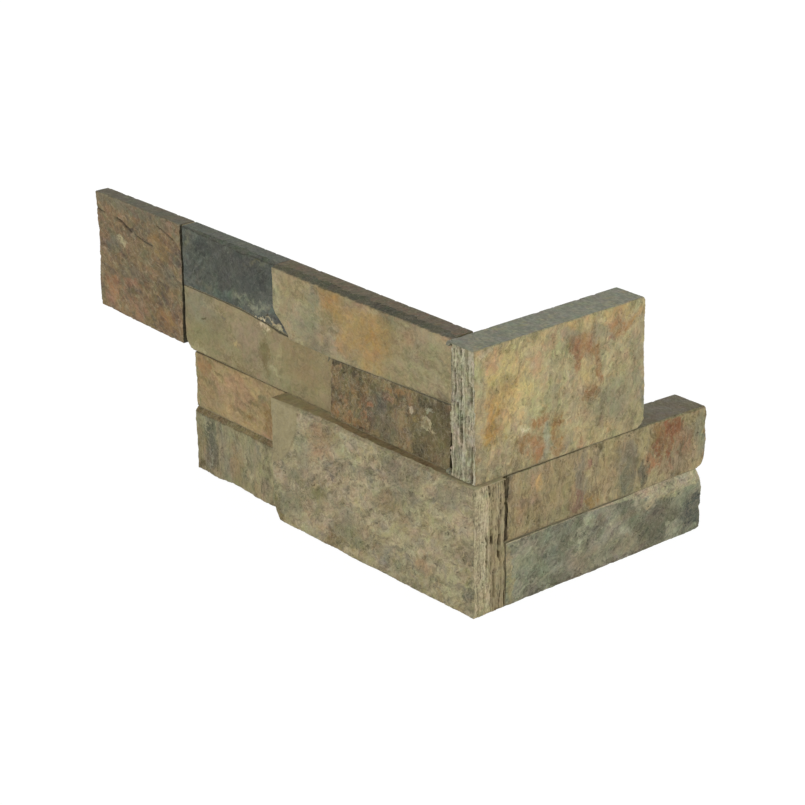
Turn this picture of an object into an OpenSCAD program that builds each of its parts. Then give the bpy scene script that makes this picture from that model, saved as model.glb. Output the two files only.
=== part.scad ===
// Outside corner of a stacked stone wall facing: slate pieces glued edge to edge on two legs.
// The Z axis is the inner corner line, where the two sawn backs meet, and Z = 0 is the lower edge.
// The long leg runs along -X and shows its face to -Y. The short leg runs along +Y and faces +X.

/* [Panel] */
// Height of the panel over all rows
panel_h = 150; // [144:0.5:158]
// Height of the bed between the lower and the upper half
mid_z = 75; // [72:0.5:78]
// Thickness of the adhesive in the joints
glue_t = 0.5; // [0.3:0.1:1]
// How far the adhesive stays back from the thinner stone's face
glue_set = 3; // [2:0.5:5]

/* [Long leg, upper half] */
// Length of the far end stone
far_l = 90.3; // [60:0.1:110]
// Thickness of the far end stone at the joint
far_t = 11; // [9:0.1:16]
// How much thinner the far end stone is at its free end
far_taper = 1.9; // [0:0.1:3]
// How far the far end stone's free end leans in at its top
far_lean = 4; // [0:0.1:6]
// Thickness of the open joint beside the far end stone
far_joint = 2.2; // [0.6:0.1:3]
// Length of the dark slate along the top edge
slate_l = 90; // [75:0.1:110]
// Thickness of the dark slate
slate_t = 11; // [9:0.1:16]
// How far the slate's spur reaches under the tan stone
spur_l = 14.4; // [6:0.1:18]
// Height of the spur's root above the bed
spur_h = 15; // [8:0.1:18]
// Length of the tan stone, from the corner line
tan_l = 152.5; // [140:0.1:165]
// Thickness of the tan stone
tan_t = 14.8; // [10:0.1:20]
// Height of the tan stone's broken top arris
tan_bevel_h = 1.6; // [0.5:0.1:4]
// Depth of the tan stone's broken top arris
tan_bevel_d = 6; // [2:0.1:8]
// Thickness of the olive strip at its end beside the brown stone
olive_t = 12.4; // [10:0.1:16]
// How much thinner the olive strip is at the far joint
olive_taper = 2.6; // [0:0.1:4]
// Length of the dark brown stone, from the corner line
brown_l = 101; // [80:0.1:120]
// Thickness of the dark brown stone at its foot beside the corner
brown_t = 18.4; // [15:0.1:21]
// How much thinner the dark brown stone is at its end beside the olive strip
brown_taper = 2.6; // [0:0.1:4]
// How much thinner the dark brown stone is at its top
brown_lean = 1.8; // [0:0.1:3]
// Height of the top row at the far joint, down from the panel's top
row_far_h = 36.3; // [34:0.1:39]
// Height of the top row at the crest of its bed
row_crest_h = 36.2; // [34:0.1:39]
// Height of the top row at the spur's tip
row_spur_h = 40.3; // [34:0.1:42]
// Height of the top row over the joint beside the dark brown stone
row_brown_h = 40.5; // [34:0.1:42]
// Height of the top row at the corner
row_corner_h = 37.2; // [34:0.1:42]

/* [Long leg, lower half] */
// Length of the two strips beside the big corner stone
strip_l = 85.8; // [70:0.1:110]
// Height of the bed between the two strips
strip_z = 40.6; // [34:0.1:44]
// Thickness of the orange strip
orange_t = 12.3; // [9:0.1:18]
// Thickness of the green strip
green_t = 13.6; // [9:0.1:18]
// Height of the green strip's broken top arris
green_bevel_h = 3.4; // [0.5:0.1:5]
// Depth of the green strip's broken top arris
green_bevel_d = 4; // [1:0.1:6]
// Length of the big corner stone along the long leg, from the corner line
big_l = 145.6; // [110:0.1:160]
// Thickness of the big corner stone
big_t = 22.5; // [18:0.1:28]
// Height of the big corner stone's broken top arris
big_bevel_h = 3.2; // [0.5:0.1:5]
// Depth of the big corner stone's broken top arris
big_bevel_d = 2; // [0.5:0.1:4]

/* [Short leg] */
// Length of the upper corner stone, from the corner line
corner_l = 104.8; // [90:0.1:125]
// Thickness of the upper corner stone at its foot
corner_t = 23.2; // [19:0.1:25]
// How much thinner the upper corner stone is at its top
corner_lean = 2; // [0:0.1:4]
// How far the upper corner stone's end stands past the long leg's back
corner_out = 19.6; // [19:0.1:22]
// How far the upper corner stone's top lies under the panel's top
corner_drop = 0.4; // [0:0.1:1.5]
// Radius of the upper corner stone's two free corners
corner_r = 4.5; // [2:0.5:8]
// Length of the rust strip, from the corner line
rust_l = 154.4; // [130:0.1:170]
// Thickness of the rust strip
rust_t = 24; // [20:0.1:28]
// How far the rust strip's top edge drops towards its free end
rust_drop = 2; // [0:0.1:4]
// Height of the bed between the two short strips
short_z = 37.2; // [33:0.1:41]
// Length of the grey strip, from the corner line
grey_l = 151; // [130:0.1:170]
// Thickness of the grey strip
grey_t = 25.6; // [20:0.1:30]
// How far the big corner stone's laminated end stands past the short leg's back
big_out = 25.7; // [22:0.1:30]
// Width of the wedge gap at the rust strip's inner end
wedge_w = 2.6; // [0.8:0.1:4]
// Depth of the wedge gap from the face
wedge_d = 12; // [5:0.5:18]

/* [Split faces] */
// Swell of the split faces
swell_d = 0.9; // [0.2:0.1:1.5]
// Height of the flat plates that split off
plate_d = 0.5; // [0.1:0.1:1]
// Depth of the chipped arrises
chip_d = 1.6; // [0.4:0.1:2.5]
// Width of the chipped arrises
chip_w = 2.8; // [1:0.1:4]
// Waviness of the free broken ends
ragged_d = 0.9; // [0.2:0.1:1.5]

/* [Laminated ends] */
// Thickness of one lamina
lamina_t = 2.1; // [1.6:0.1:3]
// How far the laminae's ends step in and out
lamina_step = 0.9; // [0.2:0.1:1.5]
// Depth of the fine slit between two laminae
slit_d = 1.6; // [0.6:0.1:3]
// Depth of the few open slits
open_slit_d = 4; // [2:0.1:6]

/* [Hidden] */
half_glue = glue_t / 2;
facet = 4.6;           // spacing of the facets on a split face
arris = 1.6;           // spacing of the facets along an arris
past = 2;              // how far the rough block stands past its sawn planes
slit_w = 0.35;         // width of a slit
open_slit_w = 0.8;     // width of an open slit
upper_z = mid_z + half_glue;
lower_top = mid_z - half_glue;
joint_x = -(tan_l + slate_l);                 // joint beside the far end stone
far_x = joint_x - far_joint - far_l;          // free end of the upper half
low_x = -(big_l + glue_t + strip_l);          // free end of the lower half
crest_x = joint_x + slate_l * 0.66;
tip_x = spur_l - tan_l;
bed_spur_z = panel_h - row_spur_h;
bed_brown_z = panel_h - row_brown_h;
bed_line = [
    [joint_x, panel_h - row_far_h], [crest_x, panel_h - row_crest_h], [tip_x, bed_spur_z],
    [-brown_l, bed_brown_z], [0, panel_h - row_corner_h]
];
upper_glue_w = min(slate_t, olive_t - olive_taper, tan_t, brown_t - brown_taper - brown_lean) - glue_set;

// Repeatable random number from 0 to 1 for a lattice point.
function lot(i, j, seed) =
    let (v = sin(i * 127.1 + j * 311.7 + seed * 74.7) * 43758.5453)
    v - floor(v);

function ease(t) = t * t * (3 - 2 * t);

// Smooth noise from 0 to 1.
function noise(x, y, seed) =
    let (i = floor(x), j = floor(y), a = ease(x - i), b = ease(y - j))
    (lot(i, j, seed) * (1 - a) + lot(i + 1, j, seed) * a) * (1 - b)
    + (lot(i, j + 1, seed) * (1 - a) + lot(i + 1, j + 1, seed) * a) * b;

// Distance from a point to the outline's nearest side.
function side_gap(p, a, b) =
    let (d = b - a, t = max(0, min(1, (p - a) * d / (d * d))))
    norm(p - a - d * t);
function edge_gap(p, outline) =
    min([for (i = [0:len(outline) - 1]) side_gap(p, outline[i], outline[(i + 1) % len(outline)])]);

// Height of a split face over its plane: a broad swell, flat plates and finer grain.
function swell(u, v, seed) =
    swell_d * (noise(u / 44, v / 28, seed) - 0.5)
    + plate_d * floor(noise(u / 31, v / 19, seed + 3) * 3) / 2
    + 0.35 * swell_d * (noise(u / 9, v / 8, seed + 5) - 0.5);

// What the blows along the arris took off the face.
function chip(p, outline, seed) =
    let (reach = chip_w * (0.4 + 1.2 * noise(p[0] / 7, p[1] / 7, seed + 11)))
    chip_d * max(0, 1 - edge_gap(p, outline) / reach) * (0.35 + noise(p[0] / 12, p[1] / 12, seed + 17));

function bevel(v, top, bevel_h, bevel_d) = bevel_d * max(0, min(1, 1 - (top - v) / bevel_h));

function steps(a, b) =
    let (n = max(2, round((b - a - 2 * arris) / facet)))
    concat(
        [a - past, a, a + arris],
        [for (i = [1:n - 1]) a + arris + (b - a - 2 * arris) * i / n],
        [b - arris, b, b + past]
    );

// Ragged line from one height to another, as a list of [u, v] points, leaning along u by the last value.
function ragged(u, v0, v1, n, seed, lean = 0) =
    [for (i = [0:n]) [u + lean * i / n + ragged_d * (lot(i, 0, seed) - 0.5) * 2, v0 + (v1 - v0) * i / n]];

// Quarter circle around a rounded corner.
function round_corner(centre, r, from) =
    [for (i = [0:4]) centre + r * [cos(from + i * 22.5), sin(from + i * 22.5)]];

function bed_z(x) = lookup(x, bed_line);
function bed_points(x0, x1, off) = concat(
    [[x0, bed_z(x0) + off]],
    [for (p = bed_line) if (p[0] > x0 + 0.01 && p[0] < x1 - 0.01) p + [0, off]],
    [[x1, bed_z(x1) + off]]
);
function reversed(list) = [for (i = [len(list) - 1:-1:0]) list[i]];

// Joint between the slate and the tan stone, from the top edge down to the spur's tip.
function spur_line(off) = [
    [off - tan_l, panel_h],
    [off - tan_l, bed_spur_z + spur_h],
    [off - tan_l + spur_l * 0.5, bed_spur_z + spur_h * 0.6],
    [off + tip_x, bed_z(off + tip_x) + half_glue]
];

module on_long_leg() {
    rotate([90, 0, 0]) children();
}

module on_short_leg() {
    rotate([90, 0, 90]) children();
}

// Rough block with a split face, standing on its back: u is along, v is up, w is out of the wall.
// The face leans back by lean at its top, and by taper at its low u end.
module rough_block(outline, t, seed, bevel_h, bevel_d, lean, taper) {
    u0 = min([for (p = outline) p[0]]);
    u1 = max([for (p = outline) p[0]]);
    foot = min([for (p = outline) p[1]]);
    top = max([for (p = outline) p[1]]);
    us = steps(u0, u1);
    vs = steps(foot, top);
    nu = len(us);
    nv = len(vs);
    front = [for (v = vs) for (u = us)
        let (back_off = lean * (v - foot) / (top - foot) + taper * (u1 - u) / (u1 - u0))
        [u, v, t - back_off + swell(u, v, seed) - chip([u, v], outline, seed) - bevel(v, top, bevel_h, bevel_d)]];
    back = [for (v = [vs[0], vs[nv - 1]]) for (u = [us[0], us[nu - 1]]) [u, v, -past]];
    b = nu * nv;
    cells = [for (j = [0:nv - 2]) for (i = [0:nu - 2])
        let (c = j * nu + i)
        each [[c, c + nu, c + nu + 1], [c, c + nu + 1, c + 1]]];
    low = concat([b], [for (i = [0:nu - 1]) i], [b + 1]);
    high = concat([b + 3], [for (i = [nu - 1:-1:0]) b - nu + i], [b + 2]);
    left = concat([b + 2], [for (j = [nv - 1:-1:0]) j * nu], [b]);
    right = concat([b + 1], [for (j = [0:nv - 1]) j * nu + nu - 1], [b + 3]);
    polyhedron(
        points = concat(front, back),
        faces = concat(cells, [low, high, left, right, [b, b + 1, b + 3, b + 2]])
    );
}

// Stone sawn on its back and along its outline, with the split face left as it broke.
module stone(outline, t, seed, bevel_h = 1, bevel_d = 0, lean = 0, taper = 0) {
    intersection() {
        linear_extrude(height = t + 3 * past) polygon(outline);
        rough_block(outline, t, seed, bevel_h, bevel_d, lean, taper);
    }
}

// Cut that leaves the ends of the laminae: each one stops at its own length, with a slit beside it.
module lamina_cut(t, h, seed) {
    n = ceil((t + 2 * past) / lamina_t);
    laminae = [for (k = [0:n - 1])
        let (w = -past + k * lamina_t, off = lamina_step * lot(k, 1, seed))
        each [
            [off, w],
            [off, w + lamina_t - slit_w],
            [off + slit_d * (0.3 + 0.7 * lot(k, 2, seed)), w + lamina_t - slit_w / 2],
            [off, w + lamina_t - slit_w * 0.01]
        ]];
    rotate([-90, 0, 0])
        mirror([0, 0, 1])
            linear_extrude(height = h + 2 * past, center = true)
                mirror([0, 1, 0])
                    polygon(concat([[-3 * past, -past]], laminae, [[-3 * past, n * lamina_t - past]]));
}

module open_slits(slits) {
    for (s = slits) translate([-past, s[1], s[0]]) cube([past + open_slit_d, s[2], open_slit_w]);
}

module far_end_stone() {
    x1 = joint_x - far_joint;
    cut = 3;
    outline = concat(
        [[x1, upper_z], [x1, panel_h]],
        reversed(ragged(far_x, upper_z + cut, panel_h - 1, 7, 1, far_lean)),
        [[far_x + cut, upper_z + 1]]
    );
    color("#7a6a55") on_long_leg() stone(outline, far_t, 1, taper = far_taper);
}

module slate_stone() {
    outline = concat(
        bed_points(joint_x, tip_x - half_glue, half_glue),
        reversed(spur_line(-half_glue)),
        [[joint_x, panel_h]]
    );
    color("#575c5c") on_long_leg() stone(outline, slate_t, 2);
}

module tan_stone() {
    outline = concat(
        bed_points(tip_x + half_glue, -glue_t, half_glue),
        [[-glue_t, panel_h]],
        spur_line(half_glue)
    );
    color("#9c8d6c") on_long_leg() stone(outline, tan_t, 3, tan_bevel_h, tan_bevel_d);
}

module olive_strip() {
    nib = 3;
    outline = concat(
        [[joint_x, upper_z + nib], [joint_x + nib, upper_z], [-brown_l - half_glue, upper_z]],
        reversed(bed_points(joint_x, -brown_l - half_glue, -half_glue))
    );
    color("#908867") on_long_leg() stone(outline, olive_t, 4, taper = olive_taper);
}

module brown_stone() {
    outline = concat(
        [[-brown_l + half_glue, upper_z], [-glue_t, upper_z]],
        reversed(bed_points(-brown_l + half_glue, -glue_t, -half_glue))
    );
    color("#6f6350") on_long_leg() stone(outline, brown_t, 5, lean = brown_lean, taper = brown_taper);
}

module orange_strip() {
    outline = concat(
        [[-big_l - glue_t, strip_z + half_glue], [-big_l - glue_t, lower_top]],
        reversed(ragged(low_x, strip_z + half_glue, lower_top, 4, 6))
    );
    color("#a08a62") on_long_leg() stone(outline, orange_t, 6);
}

module green_strip() {
    outline = concat(
        [[-big_l - glue_t, 0], [-big_l - glue_t, strip_z - half_glue]],
        reversed(ragged(low_x, 0, strip_z - half_glue, 4, 7))
    );
    color("#807c63") on_long_leg() stone(outline, green_t, 7, green_bevel_h, green_bevel_d);
}

module big_corner_stone() {
    nick = 4;
    outline = [[nick - big_l, 0], [big_out, 0], [big_out, lower_top], [-big_l, lower_top], [-big_l, 2 * nick]];
    slits = [[4, 30, 22], [9, 5, 24], [15, 42, 20]];
    color("#8f856d") on_long_leg() difference() {
        stone(outline, big_t, 8, big_bevel_h, big_bevel_d);
        translate([big_out, mid_z / 2, 0]) mirror([1, 0, 0]) lamina_cut(big_t, mid_z, 8);
        translate([big_out, 0, 0]) mirror([1, 0, 0]) open_slits(slits);
    }
}

module upper_corner_stone() {
    top = panel_h - corner_drop;
    r = corner_r;
    outline = concat(
        [[-corner_out, upper_z]],
        round_corner([corner_l - r, upper_z + r], r, -90),
        round_corner([corner_l - r, top - r], r, 0),
        [[-corner_out, top]]
    );
    slits = [[3, 78, 16], [14, 104, 20], [15.5, 128, 14]];
    color("#a69a72") on_short_leg() difference() {
        stone(outline, corner_t, 9, lean = corner_lean);
        translate([-corner_out, (upper_z + top) / 2, 0]) lamina_cut(corner_t, top - upper_z, 9);
        translate([-corner_out, 0, 0]) open_slits(slits);
    }
}

module rust_strip() {
    low = short_z + half_glue;
    cut = 5;
    outline = concat(
        [[glue_t, low], [rust_l - cut, low]],
        ragged(rust_l - 0.5, low + cut, lower_top - cut - rust_drop / 2, 4, 10),
        [[rust_l - cut, lower_top - rust_drop], [corner_l, lower_top], [glue_t, lower_top]]
    );
    color("#94805f") on_short_leg() difference() {
        stone(outline, rust_t, 10);
        translate([0, 0, rust_t - wedge_d]) linear_extrude(height = wedge_d + 3 * past)
            polygon([[-1, low + 1], [glue_t + 0.2, low + 1], [glue_t + wedge_w, mid_z + 1], [-1, mid_z + 1]]);
    }
}

module grey_strip() {
    high = short_z - half_glue;
    outline = concat(
        [[glue_t, 0]],
        ragged(grey_l - 0.5, 0, high - 3, 4, 11),
        [[grey_l - 2.5, high], [glue_t, high]]
    );
    color("#7f7d6c") on_short_leg() stone(outline, grey_t, 11);
}

// One plate of adhesive on the long leg, from its outline and its depth.
module long_glue(points, depth) {
    on_long_leg() linear_extrude(height = depth) polygon(points);
}

function bar(u0, u1, v0, v1) = [[u0, v0], [u1, v0], [u1, v1], [u0, v1]];

module bed_adhesive() {
    color("#5a5346") {
        long_glue(concat(
            bed_points(joint_x, -glue_t, -half_glue),
            reversed(bed_points(joint_x, -glue_t, half_glue))
        ), upper_glue_w);
        long_glue(bar(low_x + glue_set, -glue_t, lower_top, upper_z), min(olive_t - olive_taper, orange_t) - glue_set);
        long_glue(
            bar(low_x + glue_set, -big_l - glue_t, strip_z - half_glue, strip_z + half_glue),
            min(orange_t, green_t - green_bevel_d) - glue_set
        );
        on_short_leg() linear_extrude(height = corner_t - glue_set)
            polygon(bar(glue_set - corner_out, corner_l - corner_r - glue_set, lower_top, upper_z));
        on_short_leg() linear_extrude(height = rust_t - glue_set)
            polygon(bar(glue_t, min(rust_l, grey_l) - 3 * glue_set, short_z - half_glue, short_z + half_glue));
    }
}

module end_adhesive() {
    color("#5a5346") {
        long_glue(
            bar(joint_x - far_joint, joint_x, upper_z + glue_set, panel_h - glue_set),
            far_t - far_taper - glue_set
        );
        long_glue(concat(
            [[-half_glue - tan_l, panel_h - glue_set]],
            [for (i = [1:3]) spur_line(-half_glue)[i]],
            [for (i = [3:-1:1]) spur_line(half_glue)[i]],
            [[half_glue - tan_l, panel_h - glue_set]]
        ), upper_glue_w);
        long_glue(
            bar(-brown_l - half_glue, -brown_l + half_glue, upper_z, bed_brown_z - glue_t),
            upper_glue_w
        );
        long_glue(bar(-big_l - glue_t, -big_l, glue_set, lower_top), orange_t - glue_set);
        long_glue(bar(-glue_t, 0, upper_z, panel_h - glue_set), upper_glue_w);
        on_short_leg() linear_extrude(height = rust_t - wedge_d - glue_set)
            polygon(bar(0, glue_t, 0, lower_top));
    }
}

far_end_stone();
slate_stone();
tan_stone();
olive_strip();
brown_stone();
orange_strip();
green_strip();
big_corner_stone();
upper_corner_stone();
rust_strip();
grey_strip();
bed_adhesive();
end_adhesive();
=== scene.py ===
import logging
import math
from dataclasses import dataclass, field
from enum import Enum
from typing import Callable, ClassVar

import bpy
import numpy as np
from mathutils import Matrix, Vector


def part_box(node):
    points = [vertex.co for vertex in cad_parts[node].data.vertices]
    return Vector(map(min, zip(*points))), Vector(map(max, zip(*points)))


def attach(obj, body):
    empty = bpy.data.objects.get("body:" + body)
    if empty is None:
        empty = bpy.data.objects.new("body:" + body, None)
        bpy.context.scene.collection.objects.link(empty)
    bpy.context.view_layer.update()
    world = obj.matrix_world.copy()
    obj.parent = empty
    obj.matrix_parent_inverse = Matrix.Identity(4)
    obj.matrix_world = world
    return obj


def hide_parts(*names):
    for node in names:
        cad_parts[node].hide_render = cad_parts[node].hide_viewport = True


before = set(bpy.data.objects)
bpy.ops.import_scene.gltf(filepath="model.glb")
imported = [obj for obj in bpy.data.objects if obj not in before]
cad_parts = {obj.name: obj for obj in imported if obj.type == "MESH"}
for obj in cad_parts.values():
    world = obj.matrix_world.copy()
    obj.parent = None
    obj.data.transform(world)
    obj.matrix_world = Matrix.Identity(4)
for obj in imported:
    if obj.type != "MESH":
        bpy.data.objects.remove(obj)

# Looks of the stacked slate corner panel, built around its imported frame. Every stone is meshed again with
# its split face, its chipped arrises and its sawn or laminated sides, at the place and size of its node.
# Stone sizes are in millimetres, as (u, v, w): along the leg, up, and out of the wall. Blender's own lengths
# are in metres.

LOG = logging.getLogger("corner_panel")
MM = 0.001
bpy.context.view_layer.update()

Array = np.ndarray
Socket = bpy.types.NodeSocket
Color = tuple[float, float, float]
Curve = Callable[[Array], Array]
Knots = tuple[tuple[float, ...], ...]


def rgb(code: str) -> Color:
    """Turn a written sRGB colour into the linear colour that the shaders use.

    Args:
        code: Colour as #rrggbb.

    Returns:
        Linear red, green and blue.
    """
    parts = [int(code[i : i + 2], 16) / 255 for i in (1, 3, 5)]
    return tuple(c / 12.92 if c <= 0.04045 else ((c + 0.055) / 1.055) ** 2.4 for c in parts)


class Leg(Enum):
    """The two legs of the corner, each with its own way from (u, v, w) to the frame's axes."""

    LONG = "long"
    SHORT = "short"

    def to_frame(self, uvw: Array) -> Array:
        """Turn stone coordinates into frame coordinates.

        Args:
            uvw: Points as rows of along, up and out, in millimetres.

        Returns:
            The same points as rows of x, y, z in metres.
        """
        u, v, w = uvw[:, 0], uvw[:, 1], uvw[:, 2]
        if self is Leg.LONG:
            return np.stack([u, -w, v], axis=1) * MM
        return np.stack([w, u, v], axis=1) * MM

    def span(self, node: str) -> tuple[Array, Array]:
        """Give a node's lowest and highest u, v and w, in millimetres."""
        low, high = (np.array(corner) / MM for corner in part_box(node))
        if self is Leg.LONG:
            return np.array([low[0], low[2], -high[1]]), np.array([high[0], high[2], -low[1]])
        return np.array([low[1], low[2], low[0]]), np.array([high[1], high[2], high[0]])


class Side(Enum):
    """The four sides of a stone, in the order in which its rim runs."""

    BOTTOM = 0
    RIGHT = 1
    TOP = 2
    LEFT = 3


class Cut(Enum):
    """How a side of a stone was made."""

    SAWN = "sawn"
    BROKEN = "broken"
    LAMINATED = "laminated"


class Tone(Enum):
    """The tones of the stains on slate of this kind, from the darkest to the palest."""

    SOOT = "#231e16"
    PEAT = "#494433"
    GRAPHITE = "#464844"
    DEEP_OLIVE = "#5c553c"
    IRON_RED = "#7b5039"
    LEAD = "#636353"
    SEA_SLATE = "#5a675e"
    LIVER = "#775c4d"
    MOSS_BROWN = "#776b4b"
    UMBER = "#846b46"
    RUST = "#8f674a"
    DUN = "#756f5c"
    CLAY = "#8b6b55"
    TOBACCO = "#91704c"
    MUSTARD = "#8e7a46"
    OLIVE = "#7e7958"
    SAGE = "#7c7e6c"
    KHAKI = "#8c7e5c"
    STONE_GREY = "#89846c"
    OCHRE = "#aa864f"
    FAWN = "#94826b"
    AMBER = "#a78c5b"
    SAND = "#9b906d"
    BUFF = "#a68a6c"
    ASH = "#999883"
    HONEY = "#ac9b70"
    PUTTY = "#a9a07f"
    PEACH = "#bd9c79"
    STRAW = "#c1ac75"
    BONE = "#bfb493"


def lot(i: Array, j: Array, seed: int) -> Array:
    """Give a repeatable random number from 0 to 1 for each lattice point."""
    h = i.astype(np.int64) * 374761393 + j.astype(np.int64) * 668265263 + seed * 974634777
    h = (h ^ (h >> 13)) * 1274126177 & 0xFFFFFFFF
    h = (h ^ (h >> 16)) * 2246822519 & 0xFFFFFFFF
    return ((h ^ (h >> 15)) & 0xFFFFFF) / float(0xFFFFFF)


def noise(x: Array, y: Array, seed: int) -> Array:
    """Smooth gradient noise.

    Args:
        x: First coordinate, in units of one wave.
        y: Second coordinate, in units of one wave.
        seed: Picks the pattern.

    Returns:
        Values from about -1 to 1.
    """
    i, j = np.floor(x), np.floor(y)
    a, b = x - i, y - j
    ea, eb = a * a * a * (a * (a * 6 - 15) + 10), b * b * b * (b * (b * 6 - 15) + 10)
    total = 0.0
    for di, wa in ((0, 1 - ea), (1, ea)):
        for dj, wb in ((0, 1 - eb), (1, eb)):
            turn = lot(i + di, j + dj, seed) * 2 * math.pi
            total = total + wa * wb * (np.cos(turn) * (a - di) + np.sin(turn) * (b - dj))
    return total * 1.5


def fractal(x: Array, y: Array, seed: int, octaves: int = 4, gain: float = 0.5) -> Array:
    """Sum of ever finer noise.

    Args:
        x: First coordinate, in units of the coarsest wave.
        y: Second coordinate, in units of the coarsest wave.
        seed: Picks the pattern.
        octaves: How many sizes of wave are summed.
        gain: Height of each wave against the one before.

    Returns:
        Values from about -1 to 1.
    """
    total, height = 0.0, 1.0
    for k in range(octaves):
        total = total + height * noise(x * 2**k + 0.37 * k, y * 2**k + 0.19 * k, seed + 31 * k)
        height *= gain
    return total


def ramp(x: Array, low: float, high: float) -> Array:
    """Smooth step from 0 at low to 1 at high."""
    t = np.clip((x - low) / (high - low), 0, 1)
    return t * t * (3 - 2 * t)


def stations(length: float, pitch: float, band: float = 0.0) -> Array:
    """Place the grid lines across a face: close together at both ends and in a band at the far end.

    Args:
        length: Length to cover, in millimetres.
        pitch: Usual distance between lines.
        band: Length of the far end where the lines lie close.

    Returns:
        Shares of the length, from 0 to 1.
    """
    fine, close = 0.25, 0.32
    last = length - max(band, 2 * fine)
    body = np.linspace(2 * fine, last, max(2, int(round((last - 2 * fine) / pitch))))
    tail = np.linspace(last, length - fine, max(2, int(round((length - fine - last) / close)) + 1))[1:]
    return np.concatenate([[0, fine], body, tail, [length]]) / length


@dataclass(frozen=True)
class Groove:
    """A crack along a line of points on the face."""

    points: Knots
    width: float
    depth: float
    wander: float = 0.25

    def carve(self, u: Array, v: Array) -> Array:
        """Work out how open the crack is at each point.

        Args:
            u: Place along the leg.
            v: Height.

        Returns:
            0 outside the crack and 1 in its middle.
        """
        wu = u + self.wander * noise(u / 3, v / 3, 71)
        wv = v + self.wander * noise(u / 3, v / 3, 72)
        gap = np.full(u.shape, 1e9)
        for (u0, v0), (u1, v1) in zip(self.points, self.points[1:]):
            du, dv = u1 - u0, v1 - v0
            t = np.clip(((wu - u0) * du + (wv - v0) * dv) / (du * du + dv * dv), 0, 1)
            gap = np.minimum(gap, np.hypot(wu - u0 - t * du, wv - v0 - t * dv))
        return 1 - ramp(gap, self.width * 0.15, self.width * 0.6)


@dataclass(frozen=True)
class Flake:
    """A place where a thin plate came off, or stayed on, inside a wavy oval."""

    u: float
    v: float
    half_u: float
    half_v: float
    drop: float
    turn: float = 0.0
    edge: float = 0.04
    wander: float = 0.18

    def mask(self, u: Array, v: Array) -> Array:
        """Give 1 inside the flake and 0 outside."""
        c, s = math.cos(math.radians(self.turn)), math.sin(math.radians(self.turn))
        du, dv = u - self.u, v - self.v
        r = np.hypot((du * c + dv * s) / self.half_u, (dv * c - du * s) / self.half_v)
        r = r + self.wander * fractal(u / 9, v / 9, 91, 3)
        return 1 - ramp(r, 1 - self.edge, 1 + self.edge)


@dataclass(frozen=True)
class Relief:
    """How rough a split face is, in millimetres."""

    swell: float = 0.35
    plates: float = 0.22
    plate_size: float = 22.0
    grain: float = 0.13
    grain_size: float = 2.4
    stretch: float = 1.0
    turn: float = 0.0
    grooves: tuple[Groove, ...] = ()
    flakes: tuple[Flake, ...] = ()

    SWELL_U: ClassVar[float] = 46.0
    SWELL_V: ClassVar[float] = 32.0
    PLATE_STEPS: ClassVar[tuple[float, ...]] = (-0.32, -0.03, 0.26)
    PLATE_EDGE: ClassVar[float] = 0.04

    def face(self, u: Array, v: Array, seed: int) -> tuple[Array, Array, Array]:
        """Work out the height of the split face.

        Args:
            u: Place along the leg.
            v: Height.
            seed: Picks the pattern.

        Returns:
            The height, how far each point lies in a crack, and which plate it lies on.
        """
        c, s = math.cos(math.radians(self.turn)), math.sin(math.radians(self.turn))
        along, across = (u * c + v * s) / self.stretch, v * c - u * s
        height = self.swell * fractal(u / self.SWELL_U, v / self.SWELL_V, seed, 3)
        level = fractal(along / self.plate_size, across / self.plate_size, seed + 7, 5, 0.55)
        layer = sum(ramp(level, low, low + self.PLATE_EDGE) for low in self.PLATE_STEPS) / len(self.PLATE_STEPS)
        grain = fractal(along / self.grain_size, across / self.grain_size, seed + 13, 3, 0.6)
        height = height + self.plates * 2 * (layer - 0.5) + self.grain * grain
        recess = np.zeros(u.shape)
        for flake in self.flakes:
            height = height - flake.drop * flake.mask(u, v)
        for groove in self.grooves:
            cut = groove.carve(u, v)
            height = height - groove.depth * cut
            # The crack mark later sets where painted shade darkens the face.
            recess = np.maximum(recess, cut)
        return height, recess, layer


@dataclass(frozen=True)
class Slit:
    """An open slit between two leaves of a laminated end."""

    w: float
    low: float
    high: float
    width: float = 0.7
    depth: float = 2.5

    def open(self, height: Array, w: Array) -> Array:
        """Give 1 inside the slit and 0 outside."""
        across = 1 - ramp(np.abs(w - self.w), self.width * 0.35, self.width * 0.75)
        foot, head = ramp(height, self.low - 1, self.low + 1.5), ramp(height, self.high - 1.5, self.high + 1)
        return across * foot * (1 - head)


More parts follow.
